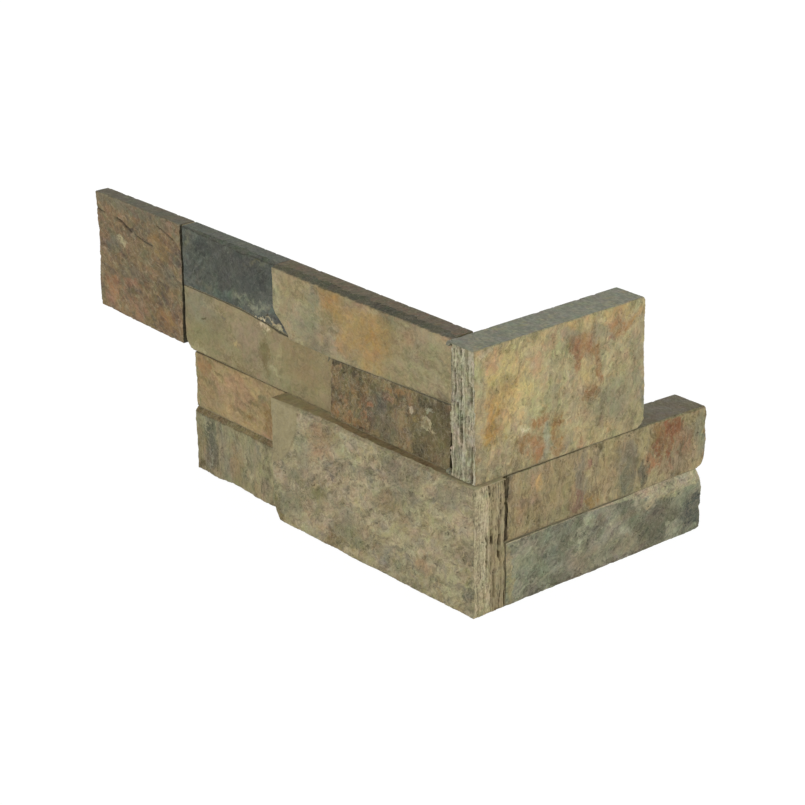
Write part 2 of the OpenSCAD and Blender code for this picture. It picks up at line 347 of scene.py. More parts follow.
@dataclass(frozen=True)
class LeafEnd:
    """A laminated end: thin leaves that stop at their own lengths, with slits between some of them."""

    by_depth: Knots = ((0, 0), (30, 0))
    by_height: Knots = ((0, 0), (160, 0))
    slits: tuple[Slit, ...] = ()
    leaf: float = 2.6
    step: float = 0.75

    def shape(self, height: Array, w: Array, seed: int) -> tuple[Array, Array, Array]:
        """Work out the end's form.

        Args:
            height: Height along the end.
            w: Distance from the wall.
            seed: Picks the pattern.

        Returns:
            How deep each point lies, how far it lies in a slit, and the shade of its leaf.
        """
        bent = w + 0.9 * fractal(height / 34, w / 14, seed, 3) + 0.3 * fractal(height / 7, w / 3, seed + 1, 3)
        depth = np.interp(w, *zip(*self.by_depth)) + np.interp(height, *zip(*self.by_height))
        recess, shade = np.zeros(w.shape), np.zeros(w.shape)
        for size, share, key in ((self.leaf, 1.0, 0), (self.leaf / 2.3, 0.5, 5)):
            leaf = np.floor(bent / size)
            place = bent / size - leaf
            own = lot(leaf, leaf * 0, seed + 3 + key)
            torn = fractal(height / 11, leaf * 3.7, seed + 7 + key, 4, 0.6)
            depth = depth + share * self.step * np.clip(own + 0.55 * torn, 0, 1.5)
            shade = shade + share * (own - 0.5) + 0.3 * share * torn
            # Gaps between leaves get a recess mark, which the end's material turns into painted shade.
            near = np.minimum(place, 1 - place) * size
            gap = (1 - ramp(near, 0.1, 0.34)) * ramp(torn, -0.1, 0.25)
            depth = depth + 0.8 * share * gap
            recess = np.maximum(recess, 0.75 * gap)
        # Open slits are marked as recess too, for painted shade.
        for slit in self.slits:
            cut = slit.open(height, w + 0.35 * fractal(height / 9, w / 30, seed + 19, 3))
            depth = depth + slit.depth * cut
            recess = np.maximum(recess, cut)
        return depth + 0.12 * fractal(height / 2.2, w / 1.1, seed + 23, 2), recess, shade


def line(a: tuple[float, float], b: tuple[float, float]) -> Curve:
    """Give a straight edge from a to b, as a function of the way along it."""
    first, last = np.array(a, float), np.array(b, float)
    return lambda t: first + (last - first) * t[:, None]


def path(*points: tuple[float, float]) -> Curve:
    """Give an edge through several points, as a function of the way along it."""
    knots = np.array(points, float)
    way = np.concatenate([[0], np.cumsum(np.hypot(*np.diff(knots, axis=0).T))])
    way = way / way[-1]
    return lambda t: np.stack([np.interp(t, way, knots[:, 0]), np.interp(t, way, knots[:, 1])], axis=1)


@dataclass(frozen=True)
class Corners:
    """Thickness of a stone at the four corners of its face, in millimetres."""

    foot_left: float
    foot_right: float
    top_right: float
    top_left: float

    def at(self, s: Array, t: Array) -> Array:
        """Give the thickness at shares s along and t up the face."""
        foot = self.foot_left + (self.foot_right - self.foot_left) * s
        top = self.top_left + (self.top_right - self.top_left) * s
        return foot + (top - foot) * t


@dataclass
class SplitStone:
    """One stone of the panel: a split face, four sides and a sawn back."""

    node: str
    leg: Leg
    seed: int
    slot: str
    thick: Corners
    finish: "StoneFinish"
    relief: Relief = field(default_factory=Relief)
    cuts: dict[Side, Cut] = field(default_factory=dict)
    end: LeafEnd = field(default_factory=LeafEnd)
    bottom: Curve | None = None
    right: Curve | None = None
    top: Curve | None = None
    left: Curve | None = None
    bevel: Knots = ((0, 0.5, 0.3),)
    wear: dict[Side, float] = field(default_factory=dict)
    pitch: float = 0.6
    ring_pitch: float = 0.9

    ARRIS: ClassVar[float] = 0.25
    PULL: ClassVar[float] = 5.0
    SKIN: ClassVar[float] = 0.02
    BOX_GAP: ClassVar[float] = 0.001
    WORN_REACH: ClassVar[float] = 0.14
    CHIP_REACH: ClassVar[float] = 2.6
    WORN_DEPTH: ClassVar[float] = 0.05
    CHIP_DEPTH: ClassVar[float] = 1.2
    BROW_WIDTH: ClassVar[float] = 0.55

    def edges(self) -> dict[Side, Curve]:
        """Give the four edges of the face, straight along the node's box where none is set."""
        low, high = self.leg.span(self.node)
        (u0, v0), (u1, v1) = low[:2], high[:2]
        return {
            Side.BOTTOM: self.bottom or line((u0, v0), (u1, v0)),
            Side.RIGHT: self.right or line((u1, v0), (u1, v1)),
            Side.TOP: self.top or line((u0, v1), (u1, v1)),
            Side.LEFT: self.left or line((u0, v0), (u0, v1)),
        }

    def shares(self) -> tuple[Array, Array]:
        """Place the grid lines along and up the face, as shares of its length and height."""
        low, high = self.leg.span(self.node)
        band = max(knot[1] for knot in self.bevel) * 1.5
        return stations(high[0] - low[0], self.pitch), stations(high[1] - low[1], self.pitch, band)

    def face_grid(self, s: Array, t: Array) -> tuple[Array, Array]:
        """Spread a grid of points over the face, between its four edges.

        Args:
            s: Shares of the length at which the upright grid lines stand.
            t: Shares of the height at which the level grid lines lie.

        Returns:
            The u and v of each point, as arrays of rows from the bottom up.
        """
        edges = self.edges()
        bottom, top = edges[Side.BOTTOM](s), edges[Side.TOP](s)
        left, right = edges[Side.LEFT](t), edges[Side.RIGHT](t)
        ss, tt = s[None, :, None], t[:, None, None]
        grid = (1 - tt) * bottom[None] + tt * top[None] + (1 - ss) * left[:, None] + ss * right[:, None]
        grid = grid - (
            (1 - ss) * (1 - tt) * bottom[0]
            + ss * (1 - tt) * bottom[-1]
            + (1 - ss) * tt * top[0]
            + ss * tt * top[-1]
        )
        return grid[..., 0], grid[..., 1]

    def face(self) -> tuple[Array, dict[str, Array], dict[Side, Array]]:
        """Build the split face.

        Returns:
            Points as an array of rows, columns and (u, v, w), the marks that the finish reads, and each
            point's distance to the four sides.
        """
        low, high = self.leg.span(self.node)
        s, t = self.shares()
        u, v = self.face_grid(s, t)
        across, up = np.meshgrid(s * (high[0] - low[0]), t * (high[1] - low[1]))
        gaps = {
            Side.BOTTOM: up,
            Side.RIGHT: high[0] - low[0] - across,
            Side.TOP: high[1] - low[1] - up,
            Side.LEFT: across,
        }
        height, recess, layer = self.relief.face(u, v, self.seed)
        chips, fresh = self.chips(u, v, gaps)
        bevel, mark, brow_shadow = self.top_bevel(u, v, gaps[Side.TOP])
        w = self.thick.at(s[None, :], t[:, None]) + height - chips - bevel
        w = np.minimum(w, high[2] - self.SKIN)
        marks = {"recess": recess, "fresh": fresh, "layer": layer, "bevel": mark, "brow_shadow": brow_shadow}
        return np.stack([u, v, w], axis=2), marks, gaps

    def chips(self, u: Array, v: Array, gaps: dict[Side, Array]) -> tuple[Array, Array]:
        """Work out what the blows along the arris took off the face.

        Args:
            u: Place along the leg.
            v: Height.
            gaps: Distance to each side.

        Returns:
            The depth, and how freshly broken each point looks.
        """
        depth, fresh = np.zeros(u.shape), np.zeros(u.shape)
        for side, gap in gaps.items():
            along = u if side in (Side.BOTTOM, Side.TOP) else v
            wear = self.wear.get(side, 0.35)
            lump = fractal(along / 8, gap / 5, self.seed + 41 + side.value, 4, 0.6)
            hit = ramp(lump, 0.05, 0.75)
            bite = np.clip(1 - gap / (self.WORN_REACH + self.CHIP_REACH * wear * hit), 0, 1)
            depth = np.maximum(depth, (self.WORN_DEPTH + self.CHIP_DEPTH * wear * hit) * bite)
            fresh = np.maximum(fresh, ramp(bite, 0.0, 0.4) * ramp(hit * wear, 0.02, 0.2))
        return depth, fresh

    def top_bevel(self, u: Array, v: Array, gap: Array) -> tuple[Array, ...]:
        """Work out the broken arris along the top, whose height and depth follow the bevel's knots.

        Args:
            u: Place along the leg.
            v: Height.
            gap: Distance to the top.

        Returns:
            The bevel's depth, a mark of 1 on it and 0 on the face, and how near each point is to its foot.
        """
        places, heights, depths = zip(*self.bevel)
        wave = 1 + 0.28 * fractal(u / 12, v * 0, self.seed + 61, 4, 0.6)
        high = np.interp(u, places, heights) * wave
        share = np.clip(1 - gap / high, 0, 1)
        step = 1 + 0.25 * fractal(u / 6, share * 2, self.seed + 63, 4, 0.6)
        # Nearness to the bevel's foot, where the face's material lays a painted shadow line.
        brow_shadow = np.clip(1 - np.abs(gap - high) / self.BROW_WIDTH, 0, 1)
        depth = np.interp(u, places, depths) * wave * share * np.clip(step, 0.5, 1.5)
        return depth, ramp(share, 0.0, 0.12), brow_shadow

    def rim(self, grid: Array) -> tuple[Array, Array]:
        """List the face's rim, and the side on which each of its points lies.

        Args:
            grid: Any array over the face grid.

        Returns:
            The values along the rim, and the numbers of the sides.
        """
        nv, nu = grid.shape[0] - 1, grid.shape[1] - 1
        j = np.concatenate([np.zeros(nu), np.arange(nv), np.full(nu, nv), np.arange(nv, 0, -1)]).astype(int)
        i = np.concatenate([np.arange(nu), np.full(nv, nu), np.arange(nu, 0, -1), np.zeros(nv)]).astype(int)
        side = np.concatenate([np.full(nu, 0), np.full(nv, 1), np.full(nu, 2), np.full(nv, 3)])
        return grid[j, i], side

    def side_form(self, side: Side, points: Array) -> tuple[Array, Array, Array]:
        """Work out how far a side's surface lies inside its plane.

        Args:
            side: The side.
            points: Points on the side's plane, as rows of (u, v, w).

        Returns:
            The depth, the recess mark and the shade of the leaf.
        """
        u, v, w = points.T
        along = u if side in (Side.BOTTOM, Side.TOP) else v
        cut = self.cuts.get(side, Cut.SAWN)
        none = np.zeros(u.shape)
        if cut is Cut.LAMINATED:
            return self.end.shape(v, w, self.seed + 101)
        dent = ramp(fractal(along / 6, w / 4, self.seed + 87, 4, 0.6), 0.25, 0.8)
        back = (0.06 + 0.3 * dent) * np.clip(1 - w / (0.6 + 2.0 * dent), 0, 1)
        if cut is Cut.SAWN:
            return 0.01 + 0.04 * np.abs(fractal(along / 4, w / 4, self.seed + 81, 3)) + back, none, none
        torn = 0.02 + 0.4 * np.abs(fractal(along / 12, w / 9, self.seed + 83, 5, 0.6))
        # On a broken side, the deeper dents get a half recess mark, which the end's material turns into painted
        # shade.
        return torn + back, ramp(dent, 0.6, 1.0) * 0.5, 0.6 * fractal(along / 30, w / 1.6, self.seed + 85, 3)

    def build(self) -> bpy.types.Object:
        """Build the stone's mesh, with its marks and its materials."""
        grid, marks, gaps = self.face()
        nv, nu = grid.shape[0] - 1, grid.shape[1] - 1
        low, high = self.leg.span(self.node)
        rim, side = self.rim(grid)
        run = np.roll(rim, -1, axis=0)[:, :2] - np.roll(rim, 1, axis=0)[:, :2]
        inward = np.stack([-run[:, 1], run[:, 0]], axis=1) / np.maximum(np.hypot(*run.T), 1e-6)[:, None]
        rings = max(3, int(round(high[2] / self.ring_pitch)))
        drops = np.concatenate([[0, self.ARRIS / high[2]], np.linspace(0, 1, rings + 1)[1:]])
        layers, recesses, shades = [], [], []
        for drop in drops:
            ring = rim.copy()
            ring[:, 2] = rim[:, 2] * (1 - drop)
            depth, recess, shade = (np.zeros(len(rim)) for _ in range(3))
            for s in Side:
                on = side == s.value
                depth[on], recess[on], shade[on] = self.side_form(s, ring[on])
            ring[:, :2] += inward * self.eased(depth, side)[:, None]
            layers.append(ring)
            recesses.append(recess)
            shades.append(shade)
        self.pull(grid, gaps, layers[0][:, :2] - rim[:, :2])
        points = np.concatenate([grid.reshape(-1, 3)] + layers[1:])
        points = np.minimum(np.maximum(points, low + self.BOX_GAP), high - self.BOX_GAP)
        points[len(points) - len(rim) :, 2] = 0
        faces, slots = self.quads(nu, nv, len(drops) - 1, side)
        back = np.arange(len(points) - len(rim), len(points))[::-1]
        zero = np.zeros(len(rim) * (len(drops) - 1))
        values = {
            "recess": np.concatenate([marks["recess"].ravel()] + recesses[1:]),
            "fresh": np.concatenate([marks["fresh"].ravel(), zero]),
            "layer": np.concatenate([marks["layer"].ravel(), zero + 0.5]),
            "bevel": np.concatenate([marks["bevel"].ravel(), zero]),
            "brow_shadow": np.concatenate([marks["brow_shadow"].ravel(), zero]),
            "shade": np.concatenate([marks["bevel"].ravel() * 0] + shades[1:]),
        }
        return self.to_object(points, faces, back, slots, values)

    def pull(self, grid: Array, gaps: dict[Side, Array], shift: Array) -> None:
        """Move the face's rim to the sides' surface, and ease the grid after it.

        Args:
            grid: Points of the face, moved in place.
            gaps: Distance to each side.
            shift: How far each rim point moves.
        """
        nv, nu = grid.shape[0] - 1, grid.shape[1] - 1
        at = {
            Side.BOTTOM: shift[:nu],
            Side.RIGHT: shift[nu : nu + nv],
            Side.TOP: shift[nu + nv : 2 * nu + nv][::-1],
            Side.LEFT: shift[2 * nu + nv :][::-1],
        }
        flat = grid[..., :2]
        moved = flat.copy()
        for side, gap in gaps.items():
            near = np.clip(1 - gap / self.PULL, 0, 1)[..., None]
            more = (0, 1) if side in (Side.BOTTOM, Side.RIGHT) else (1, 0)
            moves = np.pad(at[side], (more, (0, 0)), "edge")
            moved += near * (moves[None, :] if side in (Side.BOTTOM, Side.TOP) else moves[:, None])
        j, i = np.mgrid[0 : nv + 1, 0 : nu + 1]
        inside = (j > 0) & (j < nv) & (i > 0) & (i < nu)
        flat[inside] = moved[inside]
        flat[0, :nu] += at[Side.BOTTOM]
        flat[:nv, nu] += at[Side.RIGHT]
        flat[nv, 1:] += at[Side.TOP]
        flat[1:, 0] += at[Side.LEFT]

    @staticmethod
    def eased(depth: Array, side: Array) -> Array:
        """Ease the depth across each corner, where one side's cut meets the next side's."""
        out = depth.copy()
        for start in np.nonzero(side != np.roll(side, 1))[0]:
            for off in (-3, -2, -1, 0, 1, 2):
                k = [(start + off + step) % len(depth) for step in (-2, -1, 0, 1, 2)]
                out[k[2]] = depth[k].mean()
        return out

    def quads(self, nu: int, nv: int, rings: int, side: Array) -> tuple[Array, Array]:
        """List the quads of the face and the sides, with the material of each.

        Args:
            nu: Cells along the face.
            nv: Cells up the face.
            rings: Rings from the face to the back.
            side: Number of the side on which each rim point lies.

        Returns:
            The corners of each quad and its material number.
        """
        j, i = np.mgrid[0:nv, 0:nu]
        a = (j * (nu + 1) + i).ravel()
        face = np.stack([a, a + 1, a + nu + 2, a + nu + 1], axis=1)
        index = np.arange((nu + 1) * (nv + 1)).reshape(nv + 1, nu + 1)
        ring, _ = self.rim(index[..., None])
        rows = [ring[:, 0]]
        for k in range(rings):
            rows.append(index.size + k * len(side) + np.arange(len(side)))
        numbers = {Cut.SAWN: 1, Cut.BROKEN: 2, Cut.LAMINATED: 2}
        own = np.array([numbers[self.cuts.get(Side(s), Cut.SAWN)] for s in side])
        bands, slots = [face], [np.zeros(len(face), int)]
        for upper, lower in zip(rows, rows[1:]):
            bands.append(np.stack([upper, lower, np.roll(lower, -1), np.roll(upper, -1)], axis=1))
            slots.append(own)
        return np.concatenate(bands), np.concatenate(slots)

    def to_object(
        self,
        points: Array,
        faces: Array,
        back: Array,
        slots: Array,
        values: dict[str, Array],
    ) -> bpy.types.Object:
        """Make the Blender object, hang it on the frame and dress it.

        Args:
            points: Points in stone coordinates.
            faces: Corners of each quad.
            back: Corners of the sawn back.
            slots: Material number of each quad.
            values: Marks of each point by name.

        Returns:
            The new object.
        """
        mesh = bpy.data.meshes.new(self.node + "_split")
        corners = np.concatenate([faces.ravel(), back])
        starts = np.concatenate([np.arange(len(faces)) * 4, [len(faces) * 4]])
        mesh.vertices.add(len(points))
        mesh.vertices.foreach_set("co", self.leg.to_frame(points).ravel())
        mesh.loops.add(len(corners))
        mesh.loops.foreach_set("vertex_index", corners.astype(np.int32))
        mesh.polygons.add(len(starts))
        mesh.polygons.foreach_set("loop_start", starts.astype(np.int32))
        mesh.update(calc_edges=True)
        mesh.validate()
        for look in self.finish.materials(self.node, self.leg):
            mesh.materials.append(look)
        mesh.polygons.foreach_set("material_index", np.concatenate([slots, [1]]).astype(np.int32))
        mesh.polygons.foreach_set("use_smooth", np.concatenate([np.ones(len(faces)), [0]]).astype(bool))
        for name, value in values.items():
            mark = mesh.attributes.new(name, "FLOAT", "POINT")
            mark.data.foreach_set("value", value.astype(np.float32))
        piece = bpy.data.objects.new(self.node + "_split", mesh)
        bpy.context.scene.collection.objects.link(piece)
        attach(piece, "root")
        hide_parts(self.node)
        LOG.info("%s: %d points, %d triangles", piece.name, len(points), 2 * len(faces) + len(back) - 2)
        return piece


class Board:
    """A node tree, with short calls for the nodes that stone needs."""

    WARM: ClassVar[Color] = (1.0, 0.993, 0.965)
    SPECULAR: ClassVar[float] = 0.25

    def __init__(self, tree: bpy.types.NodeTree) -> None:
        """Start the tree without nodes."""
        self.tree = tree
        tree.nodes.clear()

    def node(self, kind: str, inputs: dict[int | str, object] | None = None, **props: object) -> bpy.types.Node:
        """Add a node.

        Args:
            kind: Blender's name for the node.
            inputs: Value or socket for each input, by name or number.
            props: Properties of the node.

        Returns:
            The new node.
        """
        made = self.tree.nodes.new(kind)
        for key, value in props.items():
            setattr(made, key, value)
        for key, value in (inputs or {}).items():
            if isinstance(value, Socket):
                self.tree.links.new(value, made.inputs[key])
            else:
                made.inputs[key].default_value = value
        return made

    def waves(
        self, point: object, size: float, detail: float, rough: float = 0.5, warp: float = 0.0
    ) -> bpy.types.bpy_prop_collection:
        """Add noise whose waves are about size millimetres long, and give its outputs."""
        given = {"Vector": point, "Scale": 1.0 / size, "Detail": detail, "Roughness": rough, "Distortion": warp}
        return self.node("ShaderNodeTexNoise", given).outputs

    def noise(
        self, point: object, size: float, detail: float = 3.0, rough: float = 0.55, warp: float = 0.0
    ) -> Socket:
        """Add noise as a number."""
        return self.waves(point, size, detail, rough, warp)["Fac"]

    def math(self, operation: str, a: object, b: object = 0.0) -> Socket:
        """Add one sum of two numbers."""
        return self.node("ShaderNodeMath", {0: a, 1: b}, operation=operation).outputs[0]

    def vector(self, operation: str, a: object, b: object) -> Socket:
        """Add one sum of two vectors."""
        return self.node("ShaderNodeVectorMath", {0: a, 1: b}, operation=operation).outputs[0]

    def step(self, value: object, low: float, high: float, to_low: float = 0.0, to_high: float = 1.0) -> object:
        """Add a smooth step of a value."""
        made = self.node(
            "ShaderNodeMapRange",
            {"Value": value, "From Min": low, "From Max": high, "To Min": to_low, "To Max": to_high},
            interpolation_type="SMOOTHSTEP",
        )
        return made.outputs[0]

    def scaled(self, value: object, times: float, plus: object) -> Socket:
        """Multiply a value by a number and add another."""
        return self.node("ShaderNodeMath", {0: value, 1: times, 2: plus}, operation="MULTIPLY_ADD").outputs[0]

    def blend(self, *parts: tuple[object, float]) -> Socket:
        """Add up several values, each with its weight."""
        total = self.math("MULTIPLY", parts[0][0], parts[0][1])
        for value, weight in parts[1:]:
            total = self.scaled(value, weight, total)
        return total

    def colors(self, value: object, tones: tuple[str, ...], low: float = 0.34, high: float = 0.66) -> Socket:
        """Add a ramp of tones, spread from low to high."""
        made = self.node("ShaderNodeValToRGB", {"Fac": value})
        band = made.color_ramp.elements
        while len(band) < len(tones):
            band.new(0.5)
        for k, (element, tone) in enumerate(zip(band, tones)):
            element.position = low + (high - low) * k / max(1, len(tones) - 1)
            element.color = (*rgb(tone), 1)
        return made.outputs["Color"]

    def mix(self, share: object, a: object, b: object, mode: str = "MIX") -> Socket:
        """Add a mix of two colours."""
        made = self.node("ShaderNodeMix", {}, data_type="RGBA", blend_type=mode)
        for key, value in ((0, share), (6, a), (7, b)):
            if isinstance(value, Socket):
                self.tree.links.new(value, made.inputs[key])
            else:
                made.inputs[key].default_value = (*value, 1) if isinstance(value, tuple) else value
        return made.outputs[2]

    def lighten(self, color: object, level: object) -> Socket:
        """Multiply a colour by a number."""
        grey = self.node("ShaderNodeCombineXYZ", {0: level, 1: level, 2: level}).outputs[0]
        return self.mix(1.0, color, grey, "MULTIPLY")

    def mark(self, name: str) -> Socket:
        """Read one of the mesh's marks."""
        return self.node("ShaderNodeAttribute", {}, attribute_name=name).outputs["Fac"]

    def stone_point(self, leg: Leg) -> Socket:
        """Give the point in stone coordinates, in millimetres."""
        place = self.node("ShaderNodeTexCoord").outputs["Object"]
        split = self.node("ShaderNodeSeparateXYZ", {0: place})
        x, y, z = (self.math("MULTIPLY", split.outputs[k], 1 / MM) for k in range(3))
        if leg is Leg.LONG:
            return self.node("ShaderNodeCombineXYZ", {0: x, 1: z, 2: self.math("MULTIPLY", y, -1.0)}).outputs[0]
        return self.node("ShaderNodeCombineXYZ", {0: y, 1: z, 2: x}).outputs[0]

    def turned(self, point: object, turn: float, stretch: float) -> Socket:
        """Turn the point in the face's plane and squeeze it along the new first axis."""
        spun = self.node(
            "ShaderNodeVectorRotate", {"Vector": point, "Angle": -math.radians(turn)}, rotation_type="Z_AXIS"
        ).outputs[0]
        return self.vector("MULTIPLY", spun, (1 / stretch, 1, 1))

    def wandering(self, point: object, size: float, reach: float) -> Socket:
        """Move the point by a smooth random amount, so that what is laid there gets a wandering edge."""
        centred = self.vector("SUBTRACT", self.waves(point, size, 5.0, 0.65)["Color"], (0.5, 0.5, 0.5))
        return self.vector("ADD", point, self.vector("MULTIPLY", centred, (reach, reach, 0)))

    def hues(self, color: object, point: object, size: float, reach: float, detail: float = 3.0) -> object:
        """Part a colour's red, green and blue by smooth noise, so that it turns warmer or greener in places.

        Args:
            color: The colour.
            point: The point that the noise is read at.
            size: Length of the noise's widest waves, in millimetres.
            reach: How far the three part.
            detail: How many finer waves are added.

        Returns:
            The varied colour.
        """
        centred = self.vector("SUBTRACT", self.waves(point, size, detail, 0.75)["Color"], (0.5, 0.5, 0.5))
        spread = self.vector("MULTIPLY", centred, (reach, reach, reach))
        return self.mix(1.0, color, self.vector("ADD", spread, self.WARM), "MULTIPLY")

    def finish(self, color: object, rough: object, bump: object, bump_mm: float) -> None:
        """Join the colour, roughness and height to the shader and the output."""
        bumped = self.node("ShaderNodeBump", {"Strength": 1.0, "Distance": bump_mm * MM, "Height": bump})
        given = {"Base Color": color, "Roughness": rough, "Specular IOR Level": self.SPECULAR}
        shader = self.node("ShaderNodeBsdfPrincipled", given | {"Normal": bumped.outputs[0]})
        self.node("ShaderNodeOutputMaterial", {"Surface": shader.outputs[0]})


class Look(Board):
    """The board of a new material."""

    def __init__(self, name: str) -> None:
        """Start a new material without nodes."""
        self.material = bpy.data.materials.new(name)
        self.material.use_nodes = True
        super().__init__(self.material.node_tree)


def patch_group() -> bpy.types.NodeTree:
    """Make the node group that gives 1 inside a soft turned oval and 0 outside."""
    name = "soft_patch"
    if name in bpy.data.node_groups:
        return bpy.data.node_groups[name]
    group = bpy.data.node_groups.new(name, "ShaderNodeTree")
    for label, kind in (
        ("Point", "Vector"), ("Centre", "Vector"), ("Scale", "Vector"), ("Turn", "Float"), ("Edge", "Float")
    ):
        group.interface.new_socket(label, in_out="INPUT", socket_type="NodeSocket" + kind)
    group.interface.new_socket("Mask", in_out="OUTPUT", socket_type="NodeSocketFloat")
    board = Board(group)
    given = board.node("NodeGroupInput").outputs
    offset = board.vector("SUBTRACT", given["Point"], given["Centre"])
    spun = board.node(
        "ShaderNodeVectorRotate", {"Vector": offset, "Angle": given["Turn"]}, rotation_type="Z_AXIS"
    ).outputs[0]
    scaled = board.vector("MULTIPLY", spun, given["Scale"])
    reach = board.node("ShaderNodeVectorMath", {0: scaled}, operation="LENGTH").outputs["Value"]
    low, high = (board.math(kind, 1.0, given["Edge"]) for kind in ("SUBTRACT", "ADD"))
    board.node("NodeGroupOutput", {"Mask": board.step(reach, low, high, 1.0, 0.0)})
    return group


@dataclass(frozen=True)
class Patch:
    """A field of another colour on a face: a soft oval, turned, with a wandering edge."""

    u: float
    v: float
    half_u: float
    half_v: float
    tone: Tone
    share: float = 0.85
    turn: float = 0.0
    edge: float = 0.5
    broken: float = 0.45

    def lay(
        self, board: Board, point: object, grit: object, under: object, level: object = 1.0
    ) -> Socket:
        """Mix this patch over a colour.

        Args:
            board: The material's board.
            point: The wandering point in stone coordinates.
            grit: Noise that breaks the patch up.
            under: The colour below.
            level: How light or dark the patch is at each point.

        Returns:
            The mixed colour.
        """
        group = board.node("ShaderNodeGroup", {}, node_tree=patch_group())
        board.tree.links.new(point, group.inputs["Point"])
        group.inputs["Centre"].default_value = (self.u, self.v, 0)
        group.inputs["Scale"].default_value = (1 / self.half_u, 1 / self.half_v, 0)
        group.inputs["Turn"].default_value = -math.radians(self.turn)
        group.inputs["Edge"].default_value = self.edge
        kept = board.step(grit, 0.4, 0.58, 1 - self.broken, 1.0)
        oval = board.math("MULTIPLY", group.outputs[0], kept)
        mask = board.math("MULTIPLY", oval, min(1.0, 1.15 * self.share))
        plain = isinstance(level, float)
        color = rgb(self.tone.value)
        return board.mix(mask, under, color if plain else board.lighten(color, level))


@dataclass(frozen=True)
class Tint:
    """A second colour that shows through in random spots all over a face."""

    color: str
    size: float
    cover: float = 0.28
    share: float = 0.55
    turn: float = 0.0
    stretch: float = 1.0
    edge: float = 0.035

    def lay(self, board: Board, point: object, under: object, key: int) -> Socket:
        """Mix this tint over a colour.

        Args:
            board: The material's board.
            point: The point in stone coordinates.
            under: The colour below.
            key: Picks the pattern.

        Returns:
            The mixed colour.
        """
        away = (37.0 * key, 11.0 * key, 53.0 * key)
        moved = board.vector("ADD", board.turned(point, self.turn, self.stretch), away)
        value = board.noise(moved, self.size, 4, 0.62, 0.7)
        place = 0.5 + (0.5 - self.cover) * 0.3
        mask = board.math("MULTIPLY", board.step(value, place - self.edge, place + self.edge), self.share)
        return board.mix(mask, under, rgb(self.color))


